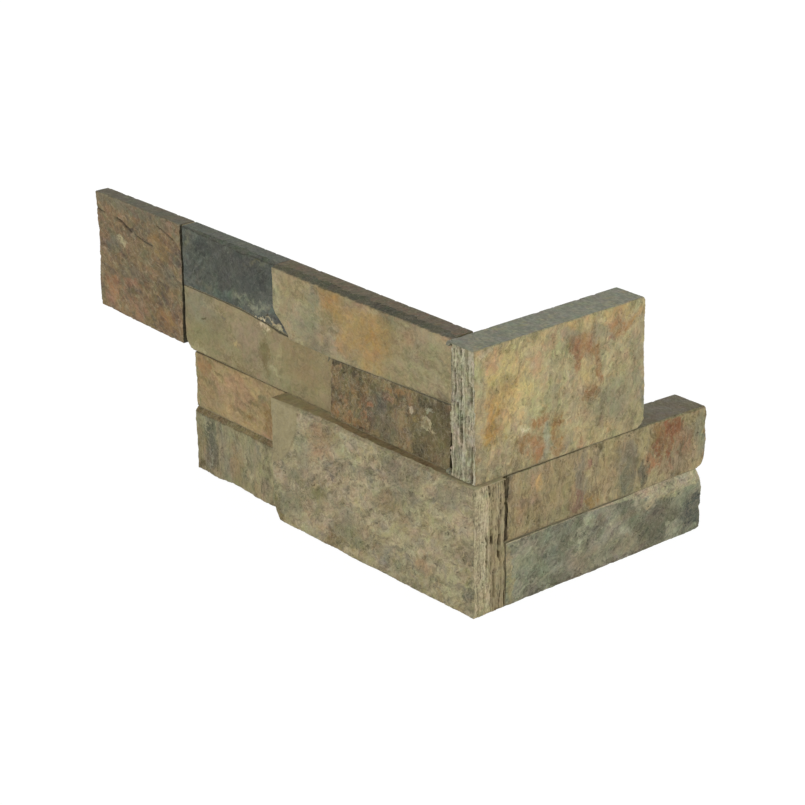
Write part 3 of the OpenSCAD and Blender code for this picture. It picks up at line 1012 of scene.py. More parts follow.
@dataclass(frozen=True)
class StoneFinish:
    """Colours and textures of one stone."""

    tones: tuple[str, ...]
    tints: tuple[Tint, ...] = ()
    patches: tuple[Patch, ...] = ()
    plates: tuple[Patch, ...] = ()
    top: tuple[str, ...] = ("#5c5a4c", "#6c6858", "#7a7664")
    top_tints: tuple[Tint, ...] = (Tint("#4c4838", 4, 0.25, 0.35), Tint("#85806a", 2.5, 0.2, 0.4))
    top_patches: tuple[Patch, ...] = ()
    end: tuple[str, ...] | None = None
    end_patches: tuple[Patch, ...] = ()
    arris: str = "#5f5a48"
    turn: float = 0.0
    stretch: float = 1.5
    blotch: float = 15.0
    mottle: float = 4.5
    grit: float = 1.25
    contrast: float = 1.0
    lines: float = 0.16
    fresh: str = "#aca287"
    # Painted shade: the dark colour laid into cracks, slits, gaps between leaves, dents on broken sides and the
    # line under the broken top arris.
    painted_shade: str = "#2a261d"
    hue: float = 1.0
    # Strength of the painted shadow line along the foot of the broken top arris.
    brow_shadow: float = 0.0
    pits: float = 0.35
    saw: float = 0.13
    rough: float = 0.84
    bump: float = 0.4

    WIDE_HUES: ClassVar[tuple[float, float, int]] = (24.0, 0.34, 4)
    FINE_HUES: ClassVar[tuple[float, float, int]] = (6.0, 0.24, 2)

    def materials(self, name: str, leg: Leg) -> list[bpy.types.Material]:
        """Make the materials of the face, the sawn sides and the broken or laminated ends."""
        return [self.face_look(name, leg), self.sawn_look(name, leg), self.end_look(name, leg)]

    def wormy(self, board: Board, point: object, size: float) -> Socket:
        """Add thin wandering lines: 1 on a line and 0 beside it."""
        value = board.noise(board.vector("ADD", point, (91.0, 17.0, 5.0)), size, 3, 0.6, 1.2)
        off = board.math("ABSOLUTE", board.math("SUBTRACT", value, 0.5))
        return board.step(off, 0.0, 0.035, 1.0, 0.0)

    def face_look(self, name: str, leg: Leg) -> bpy.types.Material:
        """Make the split face's material."""
        board = Look(name + "_face")
        point = board.stone_point(leg)
        bent = board.wandering(point, 9.0, 9.0)
        grain_point = board.turned(bent, self.turn, self.stretch)
        broad = board.noise(grain_point, self.blotch * 2, 5, 0.92)
        mottle = board.noise(grain_point, self.mottle, 4, 0.7, 0.5)
        grit = board.noise(grain_point, self.grit, 3, 0.75)
        tone = board.blend((broad, 0.5), (mottle, 0.45), (board.mark("layer"), 0.05))
        color = board.colors(tone, self.tones, 0.42, 0.6)
        for key, tint in enumerate(self.tints):
            color = tint.lay(board, bent, color, key + 1)
        patch_point = board.wandering(board.wandering(point, 16.0, 26.0), 3.5, 9.0)
        for patch in self.patches:
            color = patch.lay(board, patch_point, mottle, color)
        for place, (size, reach, detail) in ((bent, self.WIDE_HUES), (grain_point, self.FINE_HUES)):
            color = board.hues(color, place, size, reach * self.hue, detail)
        broken = board.hues(rgb(self.arris), bent, 8.0, 0.6)
        broken = board.lighten(broken, board.step(grit, 0.35, 0.65, 0.86, 1.14))
        color = board.mix(board.math("MULTIPLY", board.mark("bevel"), 0.9), color, broken)
        spread = board.blend((broad, 2.0), (mottle, 0.8), (grit, 1.0))
        level = board.scaled(spread, self.contrast, 1.02 - 1.9 * self.contrast)
        dark = board.math("MULTIPLY", self.wormy(board, grain_point, 3.2), self.lines)
        level = board.math("SUBTRACT", level, dark)
        pit = board.step(board.noise(bent, 2.0, 3, 0.7), 0.33, 0.39, self.pits, 0.0)
        color = board.lighten(color, board.math("SUBTRACT", level, pit))
        calm = board.scaled(level, 0.35, 0.65)
        for plate in self.plates:
            color = plate.lay(board, point, mottle, color, calm)
        crossed = self.wormy(board, board.turned(bent, self.turn + 50, 1.3), 4.4)
        thin = board.math("MULTIPLY", crossed, self.lines)
        color = board.mix(board.math("MULTIPLY", thin, 1.8), color, rgb(self.fresh))
        plain = board.math("SUBTRACT", 1.0, board.mark("bevel"))
        chip = board.math("MULTIPLY", board.math("MULTIPLY", board.mark("fresh"), plain), 0.3)
        color = board.mix(chip, color, rgb(self.fresh))
        # Painted shade: cracks are darkened, and a ragged painted shadow line runs along the foot of the broken
        # top arris.
        brow_shadow = board.math("MULTIPLY", board.step(mottle, 0.4, 0.55), self.brow_shadow)
        dark = board.math("MAXIMUM", board.math("MULTIPLY", board.mark("brow_shadow"), brow_shadow), board.mark("recess"))
        color = board.mix(board.math("MULTIPLY", dark, 0.85), color, rgb(self.painted_shade))
        rough = board.step(mottle, 0.35, 0.65, self.rough - 0.08, self.rough + 0.08)
        fine = board.noise(point, 0.5, 2, 0.6)
        board.finish(color, rough, board.blend((grit, 0.6), (fine, 0.2), (mottle, 0.5)), self.bump)
        return board.material

    def sawn_look(self, name: str, leg: Leg) -> bpy.types.Material:
        """Make the material of the sawn edges and the back, with the saw's fine lines."""
        board = Look(name + "_sawn")
        point = board.stone_point(leg)
        lines = board.noise(board.turned(board.vector("MULTIPLY", point, (1, 1, 0.2)), 28, 8), 0.9, 3, 0.6)
        blotch = board.noise(point, 9, 4, 0.6, 0.4)
        grit = board.noise(point, 1.6, 4, 0.7)
        color = board.colors(board.blend((blotch, 0.6), (grit, 0.4)), self.top)
        for key, tint in enumerate(self.top_tints):
            color = tint.lay(board, point, color, key + 11)
        for patch in self.top_patches:
            color = patch.lay(board, point, blotch, color)
        color = board.hues(color, point, 7.0, 0.4, 3)
        level = board.step(board.blend((lines, 0.5), (grit, 0.5)), 0.38, 0.62, 1 - self.saw, 1 + self.saw)
        color = board.lighten(color, level)
        height = board.blend((lines, 0.4), (grit, 0.6))
        board.finish(color, board.step(blotch, 0.3, 0.7, 0.74, 0.88), height, 0.3)
        return board.material

    def end_look(self, name: str, leg: Leg) -> bpy.types.Material:
        """Make the material of the broken or laminated ends, striped across the leaves."""
        board = Look(name + "_end")
        point = board.wandering(board.stone_point(leg), 14.0, 3.0)
        sway = board.vector("MULTIPLY", board.waves(point, 11.0, 3.0)["Color"], (0, 0, 6.0))
        swayed = board.vector("ADD", point, sway)
        leaf_point = board.vector("MULTIPLY", swayed, (0.12, 0.07, 1.0))
        stripes = board.noise(leaf_point, 2.4, 4, 0.7, 0.5)
        fine = board.noise(leaf_point, 0.7, 3, 0.65, 0.4)
        grit = board.noise(point, 1.4, 3, 0.6)
        value = board.blend((stripes, 0.7), (board.mark("shade"), 0.14), (grit, 0.3))
        color = board.colors(value, self.end or self.tones, 0.36, 0.66)
        color = board.hues(color, swayed, 9.0, 0.5, 3)
        split = board.node("ShaderNodeSeparateXYZ", {0: board.wandering(point, 8.0, 14.0)}).outputs
        out = board.node("ShaderNodeSeparateXYZ", {0: point}).outputs[2]
        across = board.node("ShaderNodeCombineXYZ", {0: out, 1: split[1]})
        for patch in self.end_patches:
            color = patch.lay(board, across.outputs[0], grit, color)
        color = board.lighten(color, board.step(board.blend((fine, 0.6), (grit, 0.4)), 0.36, 0.64, 0.84, 1.16))
        # Painted shade: thin dark lines stand for the fine slits between the leaves, and the recess mark
        # darkens the slits, leaf gaps and dents.
        off = board.math("ABSOLUTE", board.math("SUBTRACT", stripes, 0.45))
        thin = board.math("MULTIPLY", board.step(off, 0.0, 0.016, 1.0, 0.0), 0.35)
        color = board.mix(thin, color, rgb(self.painted_shade))
        color = board.mix(board.math("MULTIPLY", board.mark("recess"), 0.85), color, rgb(self.painted_shade))
        board.finish(color, 0.86, board.blend((fine, 0.5), (grit, 0.3), (stripes, 0.6)), 0.5)
        return board.material


@dataclass(frozen=True)
class Joints:
    """Where the stones of the panel meet, in millimetres."""

    panel_top: float = 150.0
    corner_top: float = 149.6
    upper_foot: float = 75.25
    lower_top: float = 74.75
    glue: float = 0.5
    far_right: float = -244.7
    slate_left: float = -242.5
    slate_right: float = -152.5
    spur_tip: float = -138.1
    brown_left: float = -101.0
    big_left: float = -145.6
    low_left: float = -232.3
    strip_top: float = 40.6
    rust_foot: float = 37.2
    row_bed: Knots = (
        (-242.5, 113.7), (-207.0, 113.8), (-187.9, 113.5), (-180.4, 113.0), (-171.1, 112.1), (-161.8, 111.5),
        (-152.7, 110.0), (-143.6, 109.5), (-138.1, 109.7), (-101.0, 109.5), (0.0, 112.8),
    )

    @property
    def half(self) -> float:
        """Give half of a joint's thickness."""
        return self.glue / 2

    def bed(self, u0: float, u1: float, off: float) -> Curve:
        """Give an edge along the top row's bed, from u0 to u1, off above it."""
        inner = [knot for knot in self.row_bed if u0 < knot[0] < u1]
        ends = [(u, float(np.interp(u, *zip(*self.row_bed)))) for u in (u0, u1)]
        return path(*((u, z + off) for u, z in (ends[0], *inner, ends[1])))

    def spur(self, off: float) -> Curve:
        """Give the joint between the dark slate and the tan stone, from the bed up."""
        tip, side = self.spur_tip + off, self.slate_right + off
        foot = float(np.interp(tip, *zip(*self.row_bed))) + self.half
        return path(
            (tip, foot), (tip - 0.4, foot + 2.2), (-141.8 + off, 115.6), (-145.4 + off, 118.8),
            (-149.0 + off, 121.4), (side, 124.7), (side, self.panel_top),
        )


def ragged(u: float, v0: float, v1: float, reach: float, seed: int) -> Curve:
    """Give a broken edge that wanders beside a straight upright one.

    Args:
        u: Place of the straight edge along the leg.
        v0: Height of the lower end.
        v1: Height of the upper end.
        reach: How far the edge wanders.
        seed: Picks the pattern.

    Returns:
        The edge as a function of the way along it.
    """

    def edge(t: Array) -> Array:
        v = v0 + (v1 - v0) * t
        return np.stack([u + reach * np.abs(fractal(v / 16, np.zeros(v.shape), seed, 4)), v], axis=1)

    return edge


@dataclass
class UpperLongLeg:
    """The long leg's upper half: the end stone, the top row and the second row."""

    joints: Joints = field(default_factory=Joints)
    far_thick: Corners = Corners(9.2, 10.7, 10.7, 9.2)
    slate_thick: Corners = Corners(10.9, 10.9, 10.9, 10.9)
    tan_thick: Corners = Corners(14.8, 14.8, 14.8, 14.8)
    olive_thick: Corners = Corners(11.1, 12.3, 12.1, 10.6)
    brown_thick: Corners = Corners(15.5, 16.2, 15.2, 14.6)

    def build(self) -> None:
        """Build the five stones."""
        for stone in (self.far_end(), self.slate(), self.tan(), self.olive(), self.brown()):
            stone.build()

    def far_end(self) -> SplitStone:
        """Shape and dress the taupe brown end stone."""
        j = self.joints
        finish = StoneFinish(
            ("#625446", "#705f47", "#7c694d", "#716247"),
            (
                Tint("#8a6f57", 7, 0.3, 0.5), Tint("#6a6850", 8, 0.3, 0.55),
                Tint("#9a8c72", 3, 0.2, 0.5, -30, 2.4), Tint("#564b3b", 2.5, 0.22, 0.45, -30, 2.0),
            ),
            (
                Patch(-300, 147, 42, 4, Tone.LEAD, 0.6), Patch(-268, 132, 10, 7, Tone.UMBER, 0.7),
                Patch(-258, 114, 8, 7, Tone.DUN, 0.7), Patch(-317, 121, 8, 4, Tone.LEAD, 0.7),
                Patch(-308, 123, 4, 2.2, Tone.PUTTY, 0.9, 0, 0.3), Patch(-300, 107, 11, 4, Tone.DUN, 0.6),
                Patch(-319, 91, 10, 6, Tone.RUST, 0.5), Patch(-326, 82, 6, 4, Tone.CLAY, 0.7),
                Patch(-301, 101, 7, 3, Tone.CLAY, 0.7), Patch(-290, 84, 12, 5, Tone.CLAY, 0.6),
                Patch(-262, 85, 11, 5, Tone.UMBER, 0.6), Patch(-300, 94, 5, 3, Tone.DEEP_OLIVE, 0.7),
                Patch(-333, 106, 2, 14, Tone.FAWN, 0.5),
            ),
            top=("#545142", "#625e4f", "#6e6551"), arris="#716a55", turn=-28, stretch=2.0, fresh="#a5997f",
            blotch=13,
        )
        relief = Relief(
            turn=-28, stretch=2.2, plates=0.3,
            grooves=(
                Groove(((-312, 137.2), (-306, 135.6), (-297, 132)), 1.7, 1.0),
                Groove(((-293, 131.8), (-285, 130.4), (-274, 129)), 1.0, 0.6),
                Groove(((-268, 143.4), (-259, 141), (-252, 138.6)), 1.1, 0.6),
                Groove(((-334, 139.4), (-328, 138.4), (-324, 138.2)), 1.1, 0.6),
            ),
        )
        return SplitStone(
            "far_end_stone", Leg.LONG, 11, "far_end_slate", self.far_thick, finish, relief,
            {Side.LEFT: Cut.BROKEN},
            bottom=path((-332.4, 76.6), (-320, 76.3), (-300, 76.1), (j.far_right - 0.3, 76.0)),
            left=path(
                (-332.4, 76.6), (-334.2, 79.4), (-334.6, 90), (-333.6, 99), (-332.4, 105), (-332.3, 120),
                (-332.9, 138), (-333.4, 149.6),
            ),
            top=line((-333.4, 149.6), (j.far_right, j.panel_top)),
            right=line((j.far_right - 0.3, 76.0), (j.far_right, j.panel_top)),
            bevel=((-333, 0.5, 0.5), (-245, 0.4, 0.4)),
            wear={Side.LEFT: 0.45, Side.BOTTOM: 0.4, Side.TOP: 0.5},
        )

    def slate(self) -> SplitStone:
        """Shape and dress the dark slate with its spur."""
        j = self.joints
        finish = StoneFinish(
            ("#4b4e47", "#53564e", "#5c5f56", "#51544c"),
            (
                Tint("#4b514e", 12, 0.3, 0.5), Tint("#566057", 5, 0.25, 0.5),
                Tint("#6d7067", 2.5, 0.2, 0.5, 35, 2.5), Tint("#3f423d", 2, 0.22, 0.4),
            ),
            (
                Patch(-200, 142.5, 34, 4.5, Tone.GRAPHITE, 0.75, 0, 0.4, 0.2),
                Patch(-192, 134, 26, 13, Tone.GRAPHITE, 0.75), Patch(-158, 134, 8, 14, Tone.GRAPHITE, 0.6),
                Patch(-239, 141, 3, 6, Tone.LEAD, 0.7),
                Patch(-178, 120, 16, 3.6, Tone.SAGE, 0.85, 4, 0.4, 0.8),
                Patch(-206, 118, 9, 4, Tone.SEA_SLATE, 0.7), Patch(-148, 116, 5, 4, Tone.GRAPHITE, 0.8),
                Patch(-156, 119, 5, 2, Tone.SEA_SLATE, 0.7), Patch(-170, 145, 9, 1.6, Tone.LEAD, 0.8, 24),
                Patch(-222, 119, 10, 2.5, Tone.LEAD, 0.6),
                Patch(-170, 113.4, 6, 1.3, Tone.BONE, 1.0, -6, 0.2, 0.3),
                Patch(-154, 111.9, 9, 1.6, Tone.PUTTY, 0.95, -7, 0.3, 0.3),
                Patch(-168, 114.2, 1.1, 0.7, Tone.SOOT, 1.0, 0, 0.2, 0.1),
                Patch(-172.6, 113.2, 0.8, 0.6, Tone.SOOT, 1.0, 0, 0.2, 0.1),
                Patch(-162.5, 114.0, 1.3, 0.6, Tone.SOOT, 0.9, 0, 0.2, 0.1),
            ),
            top=("#4d5047", "#5d6056", "#6b6d61"),
            top_tints=(Tint("#454840", 4, 0.22, 0.5), Tint("#7b7e6d", 3, 0.2, 0.4)),
            arris="#55584d", fresh="#85877b", lines=0.12, pits=0.15, blotch=14, hue=0.8, turn=40,
            stretch=1.6, brow_shadow=0.9,
        )
        return SplitStone(
            "slate_stone", Leg.LONG, 12, "dark_slate", self.slate_thick, finish,
            Relief(plates=0.15, swell=0.25), right=j.spur(-j.half),
            bottom=j.bed(j.slate_left, j.spur_tip - j.half, j.half),
            left=line((j.slate_left, 113.95), (j.slate_left, j.panel_top)),
            top=line((j.slate_left, j.panel_top), (j.slate_right - j.half, j.panel_top)),
            bevel=((-242, 0.6, 0.9), (-215, 1.6, 2.0), (-185, 2.2, 2.4), (-153, 1.2, 1.6)),
        )

    def tan(self) -> SplitStone:
        """Shape and dress the tan stone with its orange stains."""
        j = self.joints
        finish = StoneFinish(
            ("#8c8162", "#978c6c", "#a39676", "#938a70"),
            (
                Tint("#a08a6e", 7, 0.26, 0.5), Tint("#857f66", 9, 0.3, 0.5),
                Tint("#ab9c7a", 2.4, 0.2, 0.45), Tint("#776d52", 2, 0.24, 0.4),
            ),
            (
                Patch(-143, 136, 9, 14, Tone.SAND, 0.7), Patch(-119, 122, 10, 14, Tone.STONE_GREY, 0.6),
                Patch(-117, 142, 7, 5, Tone.SAGE, 0.7),
                Patch(-69, 130, 23, 18, Tone.AMBER, 0.8, 0, 0.4, 0.25),
                Patch(-99, 141, 10, 9, Tone.OCHRE, 0.65, 0, 0.7, 0.3), Patch(-110, 113, 8, 4, Tone.DUN, 0.6),
                Patch(-65, 132, 3.2, 6, Tone.OCHRE, 0.55), Patch(-91, 117, 5, 4, Tone.OCHRE, 0.55),
                Patch(-104, 128, 3, 8, Tone.KHAKI, 0.7), Patch(-78, 118, 8, 3, Tone.SAND, 0.6),
                Patch(-38, 140, 6, 4, Tone.BUFF, 0.6), Patch(-28, 132, 24, 15, Tone.SAND, 0.5),
                Patch(-47, 121, 12, 8, Tone.SAND, 0.5), Patch(-12, 121, 4, 3, Tone.PUTTY, 0.6),
                Patch(-147.5, 133, 1.6, 14, Tone.PUTTY, 0.6),
            ),
            top=("#534b39", "#655b48", "#756953"),
            top_tints=(
                Tint("#70523f", 6, 0.22, 0.45), Tint("#50533b", 5, 0.25, 0.5),
                Tint("#7d755e", 2.2, 0.18, 0.4),
            ),
            arris="#4b4d41", lines=0.12, pits=0.16, contrast=0.68, saw=0.2,
        )
        return SplitStone(
            "tan_stone", Leg.LONG, 13, "tan_slate", self.tan_thick, finish,
            bottom=j.bed(j.spur_tip + j.half, -j.glue, j.half), left=j.spur(j.half),
            right=line((-j.glue, 113.05), (-j.glue, j.panel_top)),
            top=line((j.slate_right + j.half, j.panel_top), (-j.glue, j.panel_top)),
            bevel=((-152, 1.3, 4.0), (-130, 1.5, 5.8), (0, 1.5, 5.8)),
        )

    def olive(self) -> SplitStone:
        """Shape and dress the olive strip."""
        j = self.joints
        right = j.brown_left - j.half
        finish = StoneFinish(
            ("#827959", "#8c8161", "#968b6b", "#897f62"),
            (
                Tint("#868260", 13, 0.35, 0.45), Tint("#96846a", 10, 0.3, 0.4),
                Tint("#a4986f", 2.5, 0.18, 0.35, 60, 2.0),
            ),
            (
                Patch(-222, 92, 20, 15, Tone.OLIVE, 0.6), Patch(-228, 102, 15, 10, Tone.STONE_GREY, 0.8),
                Patch(-180, 96, 13, 14, Tone.FAWN, 0.7),
                Patch(-162.5, 92, 3, 14, Tone.MOSS_BROWN, 0.85, 0, 0.4, 0.3),
                Patch(-128, 97, 24, 14, Tone.KHAKI, 0.75),
                Patch(-223, 96.8, 2.2, 1.3, Tone.DEEP_OLIVE, 0.95, 0, 0.3, 0.1),
                Patch(-208, 104, 2.6, 1.7, Tone.DUN, 0.8, 0, 0.3), Patch(-154, 83, 4, 2.2, Tone.PUTTY, 0.7),
                Patch(-193, 89, 4, 1.2, Tone.HONEY, 0.85, 35, 0.3), Patch(-153, 97, 1.5, 8, Tone.SAND, 0.7),
                Patch(-102.4, 93, 1.1, 16, Tone.PUTTY, 0.8, 0, 0.3, 0.2),
                Patch(-233, 78.6, 9, 1.5, Tone.PUTTY, 0.8, 0, 0.3),
                Patch(-110, 106.4, 1.8, 1.2, Tone.LEAD, 0.9, 0, 0.3),
                Patch(-166, 110.2, 6, 1.5, Tone.BONE, 0.9, -8, 0.3),
                Patch(-190, 80, 26, 1.2, Tone.MOSS_BROWN, 0.6),
                Patch(-215, 108, 12, 0.8, Tone.PUTTY, 0.6, 12, 0.4),
            ),
            turn=15, stretch=1.4, contrast=0.5, lines=0.07, pits=0.1, hue=0.7,
        )
        return SplitStone(
            "olive_strip", Leg.LONG, 14, "olive_slate", self.olive_thick, finish,
            Relief(plates=0.15, grain=0.08),
            bottom=line((j.slate_left + 5, j.upper_foot), (right, j.upper_foot)),
            top=j.bed(j.slate_left, right, -j.half),
            right=line((right, j.upper_foot), (right, 109.25)),
            left=path(
                (j.slate_left + 5, j.upper_foot), (j.slate_left + 1.2, j.upper_foot + 3.4),
                (j.slate_left, j.upper_foot + 7), (j.slate_left, 113.45),
            ),
            wear={side: 0.15 for side in Side},
        )

    def brown(self) -> SplitStone:
        """Shape and dress the dark mottled brown stone."""
        j = self.joints
        left = j.brown_left + j.half
        finish = StoneFinish(
            ("#62573f", "#74674b", "#857555", "#70654c"),
            (
                Tint("#5a513b", 5, 0.28, 0.55, 60, 1.6), Tint("#8a694f", 5, 0.22, 0.35, 80, 1.6),
                Tint("#67633f", 5, 0.22, 0.5), Tint("#7b7565", 4, 0.22, 0.5, 70, 1.8),
                Tint("#9b8f70", 2.4, 0.18, 0.55, 30, 1.6),
            ),
            (
                Patch(-13, 94, 17, 17, Tone.DEEP_OLIVE, 0.65), Patch(-58, 90, 11, 10, Tone.LEAD, 0.6),
                Patch(-93, 109, 7, 2.4, Tone.PEAT, 0.95, 0, 0.3, 0.3),
                Patch(-64, 103, 4, 3, Tone.DEEP_OLIVE, 0.85), Patch(-58, 97, 5, 5, Tone.LEAD, 0.75),
                Patch(-49, 80, 7, 4, Tone.LEAD, 0.7), Patch(-70, 91, 4, 7, Tone.RUST, 0.75, 0, 0.4, 0.8),
                Patch(-84, 83, 4, 3, Tone.RUST, 0.75), Patch(-97, 82, 3, 5, Tone.TOBACCO, 0.7),
                Patch(-52, 102, 5, 3, Tone.CLAY, 0.7), Patch(-43, 93, 6, 6, Tone.KHAKI, 0.6),
                Patch(-32.5, 104.5, 2.2, 1.6, Tone.BONE, 0.95, 25, 0.3, 0.2),
                Patch(-19, 96, 3.4, 4, Tone.PUTTY, 0.95, 0, 0.2, 0.4),
                Patch(-19, 96.4, 1.8, 2.2, Tone.MOSS_BROWN, 0.9, 0, 0.3),
                Patch(-27, 98, 2.6, 2.6, Tone.MUSTARD, 0.85), Patch(-26, 79, 5, 3, Tone.PEAT, 0.85),
                Patch(-19, 107, 5, 4, Tone.PEAT, 0.8), Patch(-7, 103, 7, 9, Tone.DEEP_OLIVE, 0.7),
                Patch(-9, 84, 7, 7, Tone.MOSS_BROWN, 0.6), Patch(-76, 97, 9, 3, Tone.UMBER, 0.6),
                Patch(-45, 109, 13, 2.4, Tone.TOBACCO, 0.7), Patch(-79, 79, 8, 3, Tone.TOBACCO, 0.7),
                Patch(-16, 102.5, 2, 1.6, Tone.ASH, 0.7),
            ),
            turn=62, stretch=1.5, lines=0.2, bump=0.5, pits=0.45, hue=1.25, blotch=11,
        )
        return SplitStone(
            "brown_stone", Leg.LONG, 15, "brown_slate", self.brown_thick, finish,
            Relief(grain=0.18, plates=0.3),
            bottom=line((left, j.upper_foot), (-j.glue, j.upper_foot)),
            top=j.bed(left, -j.glue, -j.half),
            left=line((left, j.upper_foot), (left, 109.25)),
            right=line((-j.glue, j.upper_foot), (-j.glue, 112.55)),
        )


@dataclass
class LowerLongLeg:
    """The long leg's lower half: two strips and the big stone that runs through the corner."""

    joints: Joints = field(default_factory=Joints)
    orange_thick: Corners = Corners(12.2, 12.2, 12.2, 12.2)
    green_thick: Corners = Corners(13.5, 13.5, 13.5, 13.5)
    big_thick: Corners = Corners(22.4, 22.4, 22.4, 22.4)
    big_right: float = 25.7

    def build(self) -> None:
        """Build the three stones."""
        for stone in (self.orange(), self.green(), self.big()):
            stone.build()

    def orange(self) -> SplitStone:
        """Shape and dress the orange tan strip."""
        j = self.joints
        finish = StoneFinish(
            ("#8c7a56", "#968361", "#a28e69", "#94815d"),
            (
                Tint("#a48a6a", 8, 0.3, 0.45), Tint("#86754f", 5, 0.24, 0.5, -25, 1.8),
                Tint("#b5a37b", 2.4, 0.18, 0.45),
            ),
            (
                Patch(-225, 67, 5, 7, Tone.TOBACCO, 0.65),
                Patch(-211, 66.6, 4, 1.8, Tone.MOSS_BROWN, 0.85, -25),
                Patch(-216, 56, 6, 1.5, Tone.MOSS_BROWN, 0.85, -30),
                Patch(-192, 49.4, 3.4, 2.2, Tone.MOSS_BROWN, 0.85),
                Patch(-184, 46, 7, 2.2, Tone.UMBER, 0.8, 20), Patch(-166, 62, 7, 3, Tone.OLIVE, 0.8, 35),
                Patch(-176, 57, 3.4, 1.6, Tone.MOSS_BROWN, 0.8), Patch(-190, 65, 13, 9, Tone.BUFF, 0.6),
                Patch(-172, 69, 7, 4, Tone.HONEY, 0.7),
                Patch(-162.5, 53, 3.4, 8, Tone.UMBER, 0.85, 0, 0.4, 0.6),
                Patch(-164, 44.5, 6, 2.6, Tone.BUFF, 0.8), Patch(-213, 49, 8, 7, Tone.KHAKI, 0.6),
                Patch(-230.6, 56, 1.1, 20, Tone.OLIVE, 0.8, 0, 0.4, 0.3),
            ),
            top=("#6a6047", "#786c50"), arris="#857655", lines=0.08, pits=0.12, contrast=0.68, turn=-20,
            stretch=1.4,
        )
        return SplitStone(
            "orange_strip", Leg.LONG, 16, "orange_slate", self.orange_thick, finish, Relief(grain=0.09),
            {Side.LEFT: Cut.BROKEN}, left=ragged(j.low_left, j.strip_top + j.half, j.lower_top, 0.15, 6),
            wear={Side.LEFT: 0.2, Side.TOP: 0.2, Side.BOTTOM: 0.2},
        )

    def green(self) -> SplitStone:
        """Shape and dress the grey green strip with its broken top arris."""
        j = self.joints
        top = j.strip_top - j.half
        finish = StoneFinish(
            ("#7e775e", "#8e8669", "#9d9475", "#8b8365"),
            (
                Tint("#696a52", 5, 0.28, 0.5, 90, 3.5), Tint("#9b9378", 4, 0.24, 0.5, 90, 3.5),
                Tint("#86775c", 6, 0.25, 0.5, 90, 3), Tint("#5d5943", 2.2, 0.14, 0.45, 80, 2),
            ),
            (
                Patch(-218, 20, 5.5, 18, Tone.LEAD, 0.85, 0, 0.35, 0.4),
                Patch(-221.5, 29, 1.0, 6, Tone.PUTTY, 0.9, -10, 0.35, 0.3),
                Patch(-217, 10, 0.9, 6, Tone.ASH, 0.9, 0, 0.35, 0.3),
                Patch(-227, 20, 3, 18, Tone.MOSS_BROWN, 0.6), Patch(-203, 11, 5, 10, Tone.STONE_GREY, 0.7),
                Patch(-200, 30, 7, 6, Tone.STONE_GREY, 0.6), Patch(-193, 14, 4.5, 12, Tone.KHAKI, 0.7),
                Patch(-161, 27, 5, 9, Tone.PUTTY, 0.8), Patch(-178, 27, 6, 9, Tone.STONE_GREY, 0.6),
                Patch(-170, 28, 3, 5, Tone.SAGE, 0.6), Patch(-224, 2, 8, 1.6, Tone.DEEP_OLIVE, 0.8),
                Patch(-177, 12, 3, 1.2, Tone.PUTTY, 0.7, 40), Patch(-185, 5, 10, 4, Tone.OLIVE, 0.5),
            ),
            arris="#7a6c4b", top=("#675b41", "#74684b", "#80734f"), turn=86, stretch=2.2, pits=0.3,
            mottle=5.5, brow_shadow=0.5,
        )
        return SplitStone(
            "green_strip", Leg.LONG, 17, "green_slate", self.green_thick, finish,
            Relief(turn=90, stretch=2.5, plates=0.3),
            {Side.LEFT: Cut.BROKEN}, left=ragged(j.low_left, 0.4, top, 0.5, 7),
            bottom=path(
                (j.low_left, 0.4), (-220, 0.9), (-210, 0.4), (-201, 1.2), (-197, 1.9), (-190, 1.6), (-185, 0.8),
                (-175, 0), (j.big_left - j.glue, 0),
            ),
            top=line((j.low_left, top), (j.big_left - j.glue, top)),
            bevel=((-232, 3.2, 3.2), (-146, 3.2, 3.2)),
            wear={Side.LEFT: 0.2, Side.BOTTOM: 0.4, Side.TOP: 0.2},
        )

